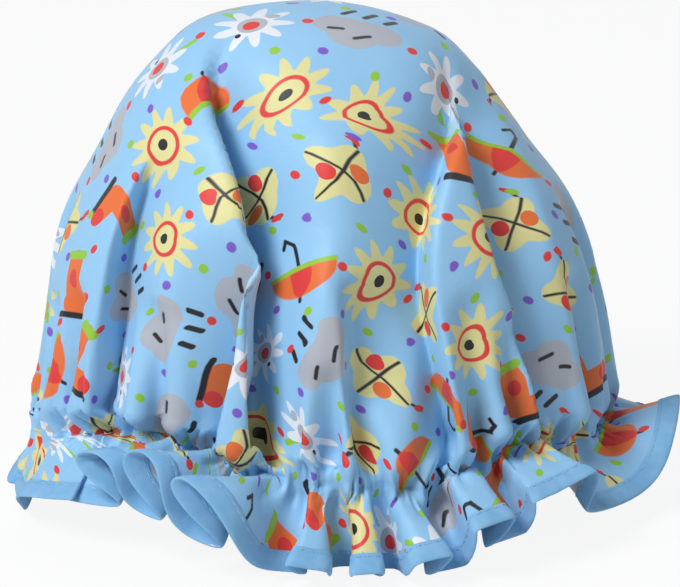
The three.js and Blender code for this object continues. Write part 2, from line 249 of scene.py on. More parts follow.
@dataclass(frozen=True)
class CreaseKind:
    """A number of like creases at the gather line.

    Attributes:
        count: How many there are.
        stray: How far each strays from its even place, in columns.
        up: Least and greatest reach up the crown.
        down: Least and greatest reach down the frill.
        depth: Least and greatest depth.
        width: Least and greatest width.
    """

    count: int
    stray: int
    up: tuple[float, float]
    down: tuple[float, float]
    depth: tuple[float, float]
    width: tuple[float, float]


@dataclass(frozen=True)
class CapPattern:
    """The cap's cloth as a surface over the angle and the distance from the flat disc's middle."""

    # The elastic's oval, and the crown that stands on it and puffs out past it.
    opening_width: float = 194.0
    opening_depth: float = 164.0
    elastic_height: float = 27.0
    crown_height: float = 149.0
    crown_puff: float = 6.0
    puff_height: float = 12.0
    # How full the bare dome's sides are and how they close at the top, and what that changes by from
    # the middle to the cap's right and left.
    dome_fullness: float = 2.4
    side_fullness: float = 0.2
    dome_closing: float = 0.49
    side_closing: float = 0.03
    # Where the crown's folds begin over the elastic and begin to fade, and how round they are.
    fold_foot: float = 2.0
    fold_rise: float = 12.0
    fold_fade: float = 0.84
    fold_floor: float = 1.2
    fold_lip: float = 0.14
    # The flat disc's radius at the stitch line, and the frill outside it.
    gather_radius: float = 200.0
    frill_depth: float = 30.0
    frill_slant: float = 38.0
    # How far a flute's sides bulge, as a share of its width; how the flutes grow down the frill; and the
    # most that they swing.
    flute_rounding: float = 0.21
    rounding_most: float = 6.0
    flute_growth: float = 0.8
    swing_most: float = 0.8
    # The least height of the cloth's middle over the floor, and how softly it settles there.
    floor_rest: float = 1.3
    floor_ease: float = 2.0
    # The mesh's columns, where they start, and the height over the stitch line that spaces them.
    columns: int = 480
    seam_angle: float = 90.0
    even_height: float = 45.0
    # The gathers: their creases, how these widen away from the stitch line, how far the cloth stands off
    # the elastic and how deep a crease may be close to it and further away.
    crease_seed: int = 11
    crease_kinds: tuple[CreaseKind, ...] = (
        CreaseKind(192, 1, (4, 9), (3.5, 8), (3.4, 5.4), (0.6, 0.9)),
        CreaseKind(96, 3, (9, 20), (7, 14), (3.0, 5.2), (0.9, 1.6)),
        CreaseKind(48, 6, (20, 46), (9, 18), (3.4, 6.4), (1.5, 2.5)))
    crease_fan: float = 30.0
    ruche_height: float = 5.0
    ruche_lift: float = 1.4
    ruche_floor: float = 1.2
    ruche_depth: float = 4.5
    ruche_band: tuple[float, float] = (1.5, 9.0)
    # The crease at each fold's foot: reach up, reach down, depth and width.
    fold_crease: tuple[float, ...] = (15.0, 10.0, 6.0, 2.2)
    dents: tuple[RingDent, ...] = (
        RingDent(-130, 28, 15, 13), RingDent(-90, 26, 0, 2), RingDent(-68, 9, 0, -4),
        RingDent(-46, 27, 7, 9))
    folds: tuple[Fold, ...] = (
        Fold((-153, -151, -150), 0.42, (12, 10, 3), (6, 8), (6, 8)),
        Fold((-139, -136, -133), 0.76, (15, 16, 7), (5, 5), (12, 22), -9),
        Fold((-126, -125, -124), 0.42, (12, 10, 3), (6, 9), (6, 9)),
        Fold((-115, -111, -104), 0.60, (16, 17, 4), (14, 14), (5, 6), 8),
        Fold((-98, -101, -152), 0.99, (18, 29, 12), (4, 6), (5, 26), -11),
        Fold((-89, -88, -88), 0.32, (12, 9, 2), (6, 8), (6, 8)),
        Fold((-80, -81, -83), 0.54, (14, 13, 3), (5, 6), (8, 13), -4),
        Fold((-65, -72, -14), 0.93, (16, 20, 10), (9, 32), (4, 11), 10),
        Fold((-55, -58, -60), 0.46, (12, 9, 2), (6, 9), (6, 9)),
        Fold((-46, -49, -51), 0.38, (11, 9, 2), (5, 8), (5, 8)),
        Fold((-36, -44, -14), 0.93, (16, 18, 8), (7, 8), (8, 30), -6),
        Fold((-22, -23, -24), 0.44, (12, 10, 3), (6, 9), (6, 9)),
        Fold((-8, -9, -11), 0.60, (13, 13, 4), (6, 9), (7, 12), -3),
        Fold((6, 5, 4), 0.42, (12, 9, 3), (6, 9), (6, 9)),
        Fold((20, 16, 12), 0.72, (15, 15, 6), (6, 8), (10, 20), -5),
        Fold((33, 32, 31), 0.40, (12, 9, 3), (6, 9), (6, 9)),
        Fold((46, 49, 20), 0.92, (16, 20, 8), (9, 26), (5, 6), 6),
        Fold((60, 61, 62), 0.44, (12, 10, 3), (6, 9), (6, 9)),
        Fold((74, 72, 88), 0.84, (15, 18, 6), (5, 6), (10, 24), -6),
        Fold((88, 88, 89), 0.38, (12, 9, 3), (6, 9), (6, 9)),
        Fold((102, 103, 105), 0.55, (13, 12, 4), (7, 10), (6, 8), 3),
        Fold((116, 121, 150), 0.96, (16, 22, 9), (8, 28), (5, 6), 6),
        Fold((130, 131, 132), 0.42, (12, 10, 3), (6, 9), (6, 9)),
        Fold((143, 142, 144), 0.56, (13, 12, 4), (6, 8), (7, 10), -3),
        Fold((157, 160, 161), 0.78, (15, 17, 6), (10, 18), (6, 6), 5),
        Fold((170, 170, 170), 0.40, (12, 9, 3), (6, 9), (6, 9)),
        Fold((183, 184, 186), 0.62, (14, 13, 4), (6, 8), (9, 13), -4),
        Fold((195, 196, 197), 0.38, (12, 9, 3), (6, 9), (6, 9)))
    facets: tuple[Facet, ...] = (
        Facet(182, 45, 0.70, 0.16, 6), Facet(185, 50, 0.33, 0.32, 5), Facet(180, 40, 0.945, 0.045, -3),
        Facet(-80, 38, 0.88, 0.07, 5), Facet(-2, 35, 0.72, 0.14, 4.5), Facet(8, 35, 0.89, 0.06, -2.5))
    flutes: tuple[Flute, ...] = (
        Flute(-152, 4, 2, 0.4), Flute(-126, 10.5, -13, 0.3), Flute(-113, 14, -11, 0.3),
        Flute(-100, 18, -19, 0.3), Flute(-89, 10, -3, 1.7), Flute(-81.5, 10, -1, 1.7),
        Flute(-73, 11, 2, 1.7), Flute(-61, 11, -3, 3.0), Flute(-46, 9, -3, 3.0), Flute(-4, 13, 11, 0.5),
        Flute(15, 9, -2), Flute(29, 10, -3), Flute(44, 10, 2), Flute(60, 11, 3), Flute(76, 10),
        Flute(91, 10, -2), Flute(107, 11, -3), Flute(122, 10, 2), Flute(137, 10, 3), Flute(151, 10, -2),
        Flute(170, 5))
    slants: tuple[SlantChange, ...] = (
        SlantChange(-124, 28, 30), SlantChange(-104, 13, 22), SlantChange(-85, 12, -28),
        SlantChange(-64, 12, 12), SlantChange(-38, 13, 20), SlantChange(-6, 26, 38),
        SlantChange(168, 20, -18))

    @property
    def edge_radius(self) -> float:
        """Return the flat disc's radius."""
        return self.gather_radius + self.frill_depth

    @property
    def mean_radius(self) -> float:
        """Return the elastic oval's middling radius."""
        return (self.opening_width + self.opening_depth) / 4.0

    @cached_property
    def column_spacing(self) -> tuple[np.ndarray, np.ndarray]:
        """Place the mesh's columns, closer together on the folds' steep flanks.

        Returns:
            Shares of the way round the cloth, and their angles.
        """
        samples = 4000
        deg = self.seam_angle + np.arange(samples + 1) * 360.0 / samples
        gone = lengths_along(self.base(deg, np.full_like(deg, self.gather_radius - self.even_height)))
        return (gone / gone[-1] + np.linspace(0.0, 1.0, samples + 1)) / 2.0, deg

    @cached_property
    def creases(self) -> np.ndarray:
        """Draw the creases that the elastic's stitches pull into the cloth, the shorter the closer together.

        Returns:
            One row a crease: angle, reach up the crown, reach down the frill, depth and width.
        """
        draw = np.random.default_rng(self.crease_seed)
        rows = []
        for kind in self.crease_kinds:
            column = np.arange(kind.count) * (self.columns * 2 // kind.count)
            column = column + draw.integers(-kind.stray, kind.stray + 1, kind.count)
            deg = np.interp(np.mod(column / (self.columns * 2), 1.0), *self.column_spacing)
            sizes = [draw.uniform(*size, kind.count) for size in (kind.up, kind.down, kind.depth, kind.width)]
            rows.append(np.stack((deg, *sizes), axis=-1))
        rows.append(np.array([(fold.angles[0], *self.fold_crease) for fold in self.folds]))
        return np.concatenate(rows)

    @cached_property
    def rise(self) -> tuple[np.ndarray, np.ndarray]:
        """Measure the cloth's way up a middling side of the crown.

        Returns:
            Shares of the crown's height, and of the cloth's length up to them.
        """
        samples, side = 400, 45.0
        share = 1.0 - (1.0 - np.linspace(0.0, 1.0, samples)) ** 2
        length = lengths_along(self.dome(np.full_like(share, side), share))
        return share, length / length[-1]

    def ring(self, deg: np.ndarray) -> np.ndarray:
        """Return points of the elastic's stitch line.

        Args:
            deg: Angles.

        Returns:
            Points.
        """
        inward = sum(d.inward * bell(turn(d.at, deg), d.spread) for d in self.dents)
        lift = sum(d.lift * bell(turn(d.at, deg), d.spread) for d in self.dents)
        angle = np.radians(deg)
        return np.stack(((self.opening_width / 2 - inward) * np.cos(angle),
                         (self.opening_depth / 2 - inward) * np.sin(angle),
                         self.elastic_height + lift), axis=-1)

    def ring_sides(self, deg: np.ndarray) -> tuple[np.ndarray, np.ndarray]:
        """Return the level directions along the stitch line and out of it.

        Args:
            deg: Angles.

        Returns:
            Both directions, of length 1.
        """
        step = 0.5
        along = self.ring(deg + step) - self.ring(deg - step)
        along[..., 2] = 0.0
        along = unit(along)
        return along, np.stack((along[..., 1], -along[..., 0], np.zeros_like(deg)), axis=-1)

    def dome(self, deg: np.ndarray, share: np.ndarray) -> np.ndarray:
        """Return points of the crown without its folds.

        Args:
            deg: Angles.
            share: Shares of the crown's height.

        Returns:
            Points.
        """
        ring, angle = self.ring(deg), np.radians(deg)
        puffed = np.stack(((self.opening_width / 2 + self.crown_puff) * np.cos(angle),
                           (self.opening_depth / 2 + self.crown_puff) * np.sin(angle)), axis=-1)
        swell = ease(0.0, self.puff_height / self.crown_height, share)[..., None]
        side = np.cos(angle)
        closing = np.maximum(1.0 - share ** (self.dome_fullness - self.side_fullness * side), 0.0)
        closing = closing ** (self.dome_closing + self.side_closing * side)
        plan = (ring[..., :2] * (1.0 - swell) + puffed * swell) * closing[..., None]
        top = self.elastic_height + self.crown_height
        return np.concatenate((plan, (ring[..., 2] + (top - ring[..., 2]) * share)[..., None]), axis=-1)

    def crown(self, deg: np.ndarray, rho: np.ndarray) -> np.ndarray:
        """Return points of the folded crown.

        Args:
            deg: Angles.
            rho: Distances from the flat disc's middle, up to the gather radius.

        Returns:
            Points.
        """
        shares, lengths = self.rise
        share = np.interp(1.0 - rho / self.gather_radius, lengths, shares)
        point = self.dome(deg, share)
        radius = np.hypot(point[..., 0], point[..., 1])
        angle = np.radians(deg)
        dip, slip = np.zeros_like(deg), np.zeros_like(deg)
        for facet in self.facets:
            dip += (facet.depth * bell(turn(facet.at, deg), facet.spread)
                    * bell(share - facet.share, facet.share_spread))
        for fold in self.folds:
            part = np.minimum(share / fold.reach, 1.0)
            foot, middle, top = fold.angles
            # Straight up to half way, and then off to a side, ever faster.
            at = np.where(part < 0.5, foot + (middle - foot) * 2.0 * part,
                          middle + (top - middle) * (2.0 * part - 1.0) ** 3)
            across = np.radians(turn(at, deg)) * radius
            left, right = (low + (high - low) * part for low, high in (fold.left, fold.right))
            strength = 1.0 - ease(self.fold_fade, 1.0, part)
            strength *= tent(across, np.where(across < 0.0, left, right), self.fold_floor, self.fold_lip)
            dip += through(fold.depths, part) * strength
            slip += fold.tuck * strength
        risen = ease(self.fold_foot, self.fold_foot + self.fold_rise, share * self.crown_height)
        dip, slip = dip * risen, slip * risen
        level = np.sqrt(np.maximum(1.0 - share ** 2, 0.0))
        point[..., 0] -= dip * level * np.cos(angle) + slip * np.sin(angle)
        point[..., 1] -= dip * level * np.sin(angle) - slip * np.cos(angle)
        point[..., 2] -= dip * share
        return point

    def frill(self, deg: np.ndarray, below: np.ndarray) -> np.ndarray:
        """Return points of the fluted frill.

        Args:
            deg: Angles.
            below: Distances down the cloth from the stitch line.

        Returns:
            Points, none under the floor.
        """
        ring_of = (*self.flutes, self.flutes[0])
        crests = np.array([flute.at for flute in ring_of])
        crests[-1] += 360.0
        wrapped = crests[0] + np.mod(deg - crests[0], 360.0)
        place = np.interp(wrapped, crests, np.arange(len(crests)))
        wave = 2.0 * math.pi * place
        swing = np.interp(wrapped, crests, [flute.swing for flute in ring_of])
        lean = np.interp(wrapped, crests, [flute.lean for flute in ring_of])
        flatness = np.interp(wrapped, crests, [flute.flatness for flute in ring_of])
        crested = np.tanh(flatness * np.cos(wave)) / np.tanh(flatness)
        gap = np.diff(crests)[np.minimum(place.astype(int), len(self.flutes) - 1)]
        rounding = np.minimum(self.flute_rounding * (np.radians(gap) * self.mean_radius), self.rounding_most)
        slant = np.radians(self.frill_slant + sum(
            s.by * bell(turn(s.at, deg), s.spread) for s in self.slants))[..., None]
        along, out = self.ring_sides(deg)
        up = np.array([0.0, 0.0, 1.0])
        down = out * np.sin(slant) - up * np.cos(slant)
        face = out * np.cos(slant) + up * np.sin(slant)
        grown = below / self.frill_depth
        sideways = rounding * np.sin(2.0 * wave) + lean * grown * (1.0 + np.cos(wave)) / 2.0
        most = self.swing_most * below
        swung = np.clip(swing * grown ** self.flute_growth * crested, -most, most)
        point = self.ring(deg) + down * np.sqrt(below ** 2 - swung ** 2)[..., None]
        point += face * swung[..., None] + along * (sideways * grown)[..., None]
        height = point[..., 2] - self.floor_rest
        point[..., 2] = self.floor_rest + (height + np.hypot(height, self.floor_ease)) / 2.0
        return point

    def base(self, deg: np.ndarray, rho: np.ndarray) -> np.ndarray:
        """Return points of crown and frill, before the small creases.

        Args:
            deg: Angles.
            rho: Distances from the flat disc's middle.

        Returns:
            Points.
        """
        crown = self.crown(deg, np.minimum(rho, self.gather_radius))
        frill = self.frill(deg, np.maximum(rho - self.gather_radius, 0.0))
        return np.where((rho <= self.gather_radius)[..., None], crown, frill)

    def pucker(self, deg: np.ndarray, rho: np.ndarray) -> np.ndarray:
        """Return the cloth's height over its base surface, below nought in the gathers' creases.

        Args:
            deg: Angles.
            rho: Distances from the flat disc's middle.

        Returns:
            Heights.
        """
        above = self.gather_radius - rho
        spread_out = 1.0 + np.abs(above) / self.crease_fan
        span = np.radians(1.0) * self.mean_radius
        height = np.zeros_like(deg)
        for at, up, down, depth, width in self.creases:
            away = np.abs(turn(at, deg)) * span
            near = np.where(above > 0.0, above / up, -above / down)
            wide = width * spread_out
            height -= depth * (np.exp(-away / wide) - 2.0 * wide / (360.0 * span)) * np.exp(-near ** 2)
        height += self.ruche_lift * bell(above, self.ruche_height)
        limit = self.ruche_floor + self.ruche_depth * ease(*self.ruche_band, np.abs(above))
        return np.where(height < 0.0, limit * np.tanh(height / limit), height)

    def facing(self, deg: np.ndarray, rho: np.ndarray) -> np.ndarray:
        """Return the outward direction of the cloth before its small creases.

        Args:
            deg: Angles.
            rho: Distances from the flat disc's middle.

        Returns:
            Directions of length 1.
        """
        turn_step, out_step = 0.4, 0.8
        across = self.base(deg + turn_step, rho) - self.base(deg - turn_step, rho)
        inner = np.maximum(rho - out_step, 0.0)
        outer = np.minimum(rho + out_step, self.edge_radius)
        outward = unit(np.cross(across, self.base(deg, inner) - self.base(deg, outer)))
        _, out = self.ring_sides(deg)
        near = bell(rho - self.gather_radius, self.ruche_height)[..., None]
        return unit(outward * (1.0 - near) + out * near)

    def surface(self, deg: np.ndarray, rho: np.ndarray) -> np.ndarray:
        """Return points of the finished cloth, creases and all."""
        return self.base(deg, rho) + self.facing(deg, rho) * self.pucker(deg, rho)[..., None]


class Ink(Enum):
    """Colours of the printed cloth."""

    GROUND = "#98cbf0"
    ORANGE = "#e8733a"
    RED = "#df3f3c"
    YELLOW = "#e3dd9c"
    GREY = "#b4b8c2"
    WHITE = "#e9edf4"
    LIME = "#93c83d"
    PURPLE = "#7d5cc6"
    BLACK = "#1c1a1e"


class MarkShape(Enum):
    """The kinds of inked shape that the motifs are drawn with."""

    BLOB = "print_blob"
    STROKE = "print_stroke"
    PETALS = "print_petals"


@dataclass(frozen=True)
class Mark:
    """One inked shape of a motif, with the sizes its node group takes."""

    shape: MarkShape
    ink: Ink
    sizes: dict[str, Any]


def blob(ink: Ink, centre: tuple[float, float], radii: tuple[float, float], lean: float = 0.0,
         cut: float = NO_CUT) -> Mark:
    """Return an inked ellipse, kept only above the cut."""
    return Mark(MarkShape.BLOB, ink, {"Centre": (*centre, 0.0), "Radii": (*radii, 1.0),
                                      "Lean": math.radians(lean), "Cut": cut})


def stroke(ink: Ink, start: tuple[float, float], end: tuple[float, float], radius: float) -> Mark:
    """Return an inked line with round ends."""
    return Mark(MarkShape.STROKE, ink, {"Start": (*start, 0.0), "End": (*end, 0.0), "Radius": radius})


def petals(ink: Ink, count: float, radius: float, swell: float) -> Mark:
    """Return an inked rosette round the motif's middle."""
    return Mark(MarkShape.PETALS, ink, {"Count": count, "Radius": radius, "Swell": swell})


@dataclass(frozen=True)
class RainyDayPrint:
    """A tossed print of rainy-day things, each about 30 mm, with small dots between them."""

    cell: float = 33.0
    stagger: float = 0.5
    jitter: float = 3.0
    edge_softness: float = 0.25
    # A middling blob's radius, which turns the soft edge into a share of a blob.
    blob_radius: float = 8.0
    dot_radius: float = 1.7
    dot_length: float = 0.2
    # Ink of each kind of dot, and its place in the cell as shares of it.
    dots: tuple[tuple[Ink, tuple[float, float]], ...] = (
        (Ink.RED, (0.5, 0.0)), (Ink.PURPLE, (0.27, 0.48)), (Ink.LIME, (0.74, 0.52)))
    motifs: tuple[tuple[Mark, ...], ...] = (
        # Umbrella.
        (stroke(Ink.BLACK, (0, 14), (0, -9), 0.8), stroke(Ink.BLACK, (0, -9), (2.5, -12), 0.8),
         stroke(Ink.BLACK, (2.5, -12), (5, -9.5), 0.8), blob(Ink.ORANGE, (0, 0), (15, 12.5), cut=0.0),
         blob(Ink.RED, (0, 0), (5.2, 12.4), cut=0.0), stroke(Ink.LIME, (-14, 0.8), (14, 0.8), 0.9)),
        # Rain cloud.
        (blob(Ink.GREY, (-7, 0), (7, 6)), blob(Ink.GREY, (1, 4), (8.5, 7.5)),
         blob(Ink.GREY, (9, 0), (6, 5.5)), stroke(Ink.GREY, (-8, -3), (10, -3), 3.2),
         stroke(Ink.BLACK, (-6, -9), (-8, -13), 1.1),
         stroke(Ink.BLACK, (1, -9), (-1, -14), 1.1), stroke(Ink.BLACK, (8, -9), (6, -13), 1.1),
         stroke(Ink.BLACK, (-4, 3), (0, 6), 0.8), stroke(Ink.BLACK, (5, 2), (9, 3), 0.8)),
        # Daisy.
        (stroke(Ink.LIME, (0, 0), (5, -15), 1.0), petals(Ink.WHITE, 9, 9.5, 3.2),
         blob(Ink.GREY, (0, 0), (4.6, 4.6)), blob(Ink.RED, (0.4, 0.3), (2.6, 2.6)),
         blob(Ink.BLACK, (5.6, 3.4), (1.0, 1.0)),
         blob(Ink.GREY, (-7, -3), (2.2, 1.5), lean=25)),
        # Sun.
        (petals(Ink.YELLOW, 11, 12, 3), blob(Ink.RED, (0, 0), (7.2, 7.2)),
         blob(Ink.YELLOW, (0, 0), (5.6, 5.6)), blob(Ink.BLACK, (0, 0), (2.1, 2.1))),
        # Gumboot.
        (stroke(Ink.ORANGE, (-4, 9), (-4, -5), 5.0), stroke(Ink.ORANGE, (-4, -6), (7, -7), 4.4),
         blob(Ink.RED, (8, -6.5), (3.6, 3.8)), blob(Ink.RED, (-4, 3), (2.6, 3.4)),
         stroke(Ink.LIME, (-9, 12), (1, 12), 1.7), stroke(Ink.BLACK, (-8, -11.4), (10.5, -11.4), 1.3)),
        # Kite.
        (stroke(Ink.BLACK, (0, -11), (4, -17), 0.6), blob(Ink.RED, (3.2, -15.6), (2.8, 1.3), lean=30),
         petals(Ink.YELLOW, 4, 10.5, 2.2), blob(Ink.RED, (4, 4), (3.2, 3.2)),
         blob(Ink.ORANGE, (-4, -4), (3.2, 3.2)), stroke(Ink.BLACK, (0, -12), (0, 12), 0.55),
         stroke(Ink.BLACK, (-12, 0), (12, 0), 0.55)))

    def mark_group(self, shape: MarkShape) -> bpy.types.NodeTree:
        """Build the node group that masks one kind of inked shape.

        Args:
            shape: The kind of shape.

        Returns:
            A group that turns a place in millimetres and the shape's sizes into a mask.
        """
        tree = bpy.data.node_groups.new(shape.value, "ShaderNodeTree")
        sockets = {
            MarkShape.BLOB: (("Centre", "Vector"), ("Radii", "Vector"), ("Lean", "Float"), ("Cut", "Float")),
            MarkShape.STROKE: (("Start", "Vector"), ("End", "Vector"), ("Radius", "Float")),
            MarkShape.PETALS: (("Count", "Float"), ("Radius", "Float"), ("Swell", "Float"))}[shape]
        for name, kind in (("Place", "Vector"), *sockets):
            tree.interface.new_socket(name, in_out="INPUT", socket_type="NodeSocket" + kind)
        tree.interface.new_socket("Mask", in_out="OUTPUT", socket_type="NodeSocketFloat")
        given = add(tree, "NodeGroupInput").outputs
        soft, rim_share = self.edge_softness, self.edge_softness / self.blob_radius
        if shape is MarkShape.BLOB:
            moved = add(tree, "ShaderNodeVectorMath", {
                0: given["Place"], 1: given["Centre"]}, operation="SUBTRACT")
            turned = add(tree, "ShaderNodeVectorRotate", {
                "Vector": moved, "Angle": given["Lean"]}, rotation_type="Z_AXIS")
            shrunk = add(tree, "ShaderNodeVectorMath", {0: turned, 1: given["Radii"]}, operation="DIVIDE")
            reach = add(tree, "ShaderNodeVectorMath", {0: shrunk}, operation="LENGTH")
            inside = add(tree, "ShaderNodeMapRange", {
                "Value": reach.outputs["Value"], "From Min": 1.0 + rim_share, "From Max": 1.0 - rim_share})
            height = add(tree, "ShaderNodeSeparateXYZ", {0: given["Place"]})
            over = add(tree, "ShaderNodeMath", {
                0: height.outputs["Y"], 1: given["Cut"]}, operation="SUBTRACT")
            kept = add(tree, "ShaderNodeMapRange", {"Value": over, "From Min": -soft, "From Max": soft})
            mask = add(tree, "ShaderNodeMath", {0: inside, 1: kept}, operation="MULTIPLY")
        elif shape is MarkShape.STROKE:
            moved = add(tree, "ShaderNodeVectorMath", {
                0: given["Place"], 1: given["Start"]}, operation="SUBTRACT")
            run = add(tree, "ShaderNodeVectorMath", {
                0: given["End"], 1: given["Start"]}, operation="SUBTRACT")
            along = add(tree, "ShaderNodeVectorMath", {0: moved, 1: run}, operation="DOT_PRODUCT")
            whole = add(tree, "ShaderNodeVectorMath", {0: run, 1: run}, operation="DOT_PRODUCT")
            part = add(tree, "ShaderNodeMath", {
                0: along.outputs["Value"], 1: whole.outputs["Value"]}, operation="DIVIDE", use_clamp=True)
            foot = add(tree, "ShaderNodeVectorMath", {0: run, "Scale": part}, operation="SCALE")
            reach = add(tree, "ShaderNodeVectorMath", {0: moved, 1: foot}, operation="DISTANCE")
            rim = given["Radius"]
        else:
            split = add(tree, "ShaderNodeSeparateXYZ", {0: given["Place"]})
            angle = add(tree, "ShaderNodeMath", {
                0: split.outputs["Y"], 1: split.outputs["X"]}, operation="ARCTAN2")
            waves = add(tree, "ShaderNodeMath", {0: angle, 1: given["Count"]}, operation="MULTIPLY")
            crest = add(tree, "ShaderNodeMath", {0: waves}, operation="COSINE")
            rim = add(tree, "ShaderNodeMath", {
                0: crest, 1: given["Swell"], 2: given["Radius"]}, operation="MULTIPLY_ADD")
            reach = add(tree, "ShaderNodeVectorMath", {0: given["Place"]}, operation="LENGTH")
        if shape is not MarkShape.BLOB:
            over = add(tree, "ShaderNodeMath", {0: reach.outputs["Value"], 1: rim}, operation="SUBTRACT")
            mask = add(tree, "ShaderNodeMapRange", {"Value": over, "From Min": soft, "From Max": -soft})
        add(tree, "NodeGroupOutput", {"Mask": mask})
        return tree

    def cells(self, tree: bpy.types.NodeTree,
              place: bpy.types.NodeSocket) -> tuple[bpy.types.NodeSocket, bpy.types.Node]:
        """Add the nodes that part the cloth into cells, with every other row staggered.

        Args:
            tree: The tree that gets the nodes.
            place: The place on the flat cloth, in millimetres.

        Returns:
            The place from the cell's own jittered middle, and the cell's random node.
        """
        scaled = add(tree, "ShaderNodeVectorMath", {
            0: place, 1: (1.0 / self.cell, 1.0 / self.cell, 0.0)}, operation="MULTIPLY")
        split = add(tree, "ShaderNodeSeparateXYZ", {0: scaled})
        row = add(tree, "ShaderNodeMath", {0: split.outputs["Y"]}, operation="FLOOR")
        odd = add(tree, "ShaderNodeMath", {0: row, 1: 2.0}, operation="FLOORED_MODULO")
        moved = add(tree, "ShaderNodeMath", {
            0: odd, 1: self.stagger, 2: split.outputs["X"]}, operation="MULTIPLY_ADD")
        staggered = add(tree, "ShaderNodeCombineXYZ", {"X": moved, "Y": split.outputs["Y"]})
        cell = add(tree, "ShaderNodeVectorMath", {0: staggered}, operation="FLOOR")
        chance = add(tree, "ShaderNodeTexWhiteNoise", {"Vector": cell}, noise_dimensions="2D")
        inner = add(tree, "ShaderNodeVectorMath", {0: staggered}, operation="FRACTION")
        own = add(tree, "ShaderNodeVectorMath", {
            0: inner, 1: (self.cell, self.cell, 0.0),
            2: (-self.cell / 2, -self.cell / 2, 0.0)}, operation="MULTIPLY_ADD")
        swing = add(tree, "ShaderNodeVectorMath", {
            0: chance.outputs["Color"], 1: (self.jitter, self.jitter, 0.0),
            2: (-self.jitter / 2, -self.jitter / 2, 0.0)}, operation="MULTIPLY_ADD")
        local = add(tree, "ShaderNodeVectorMath", {0: own, 1: swing}, operation="ADD")
        return local.outputs[0], chance

    def group(self) -> bpy.types.NodeTree:
        """Build the node group that gives the print's colour at a place on the flat cloth.

        Returns:
            The group, with the place in millimetres as its input.
        """
        marks = {shape: self.mark_group(shape) for shape in MarkShape}
        tree = bpy.data.node_groups.new("rainy_day_print", "ShaderNodeTree")
        tree.interface.new_socket("Place", in_out="INPUT", socket_type="NodeSocketVector")
        tree.interface.new_socket("Color", in_out="OUTPUT", socket_type="NodeSocketColor")
        place = add(tree, "NodeGroupInput").outputs["Place"]
        local, chance = self.cells(tree, place)
        lean = add(tree, "ShaderNodeMath", {
            0: chance.outputs["Value"], 1: 2.0 * math.pi}, operation="MULTIPLY")
        turned = add(tree, "ShaderNodeVectorRotate", {
            "Vector": local, "Angle": lean}, rotation_type="Z_AXIS")
        draw = add(tree, "ShaderNodeSeparateColor", {0: chance.outputs["Color"]})
        spread = add(tree, "ShaderNodeMath", {
            0: draw.outputs["Blue"], 1: float(len(self.motifs))}, operation="MULTIPLY")
        chosen = add(tree, "ShaderNodeMath", {0: spread}, operation="FLOOR")
        near_enough = 0.1
        colour: Any = linear(Ink.GROUND.value)
        for number, motif in enumerate(self.motifs):
            painted: Any = linear(Ink.GROUND.value)
            for mark in motif:
                mask = add(tree, "ShaderNodeGroup", {
                    "Place": turned, **mark.sizes}, node_tree=marks[mark.shape])
                painted = add(tree, "ShaderNodeMix", {
                    0: mask, 6: painted, 7: linear(mark.ink.value)}, data_type="RGBA").outputs[2]
            here = add(tree, "ShaderNodeMath", {
                0: chosen, 1: float(number), 2: near_enough}, operation="COMPARE")
            colour = add(tree, "ShaderNodeMix", {
                0: here, 6: colour, 7: painted}, data_type="RGBA").outputs[2]
        for ink, offset in self.dots:
            shifted = add(tree, "ShaderNodeVectorMath", {
                0: place, 1: (offset[0] * self.cell, offset[1] * self.cell, 0.0)}, operation="ADD")
            dot_place, _ = self.cells(tree, shifted.outputs[0])
            dot = add(tree, "ShaderNodeGroup", {
                "Place": dot_place, "End": (self.dot_length, 0.0, 0.0),
                "Radius": self.dot_radius}, node_tree=marks[MarkShape.STROKE])
            colour = add(tree, "ShaderNodeMix", {
                0: dot, 6: colour, 7: linear(ink.value)}, data_type="RGBA").outputs[2]
        add(tree, "NodeGroupOutput", {"Color": colour})
        return tree


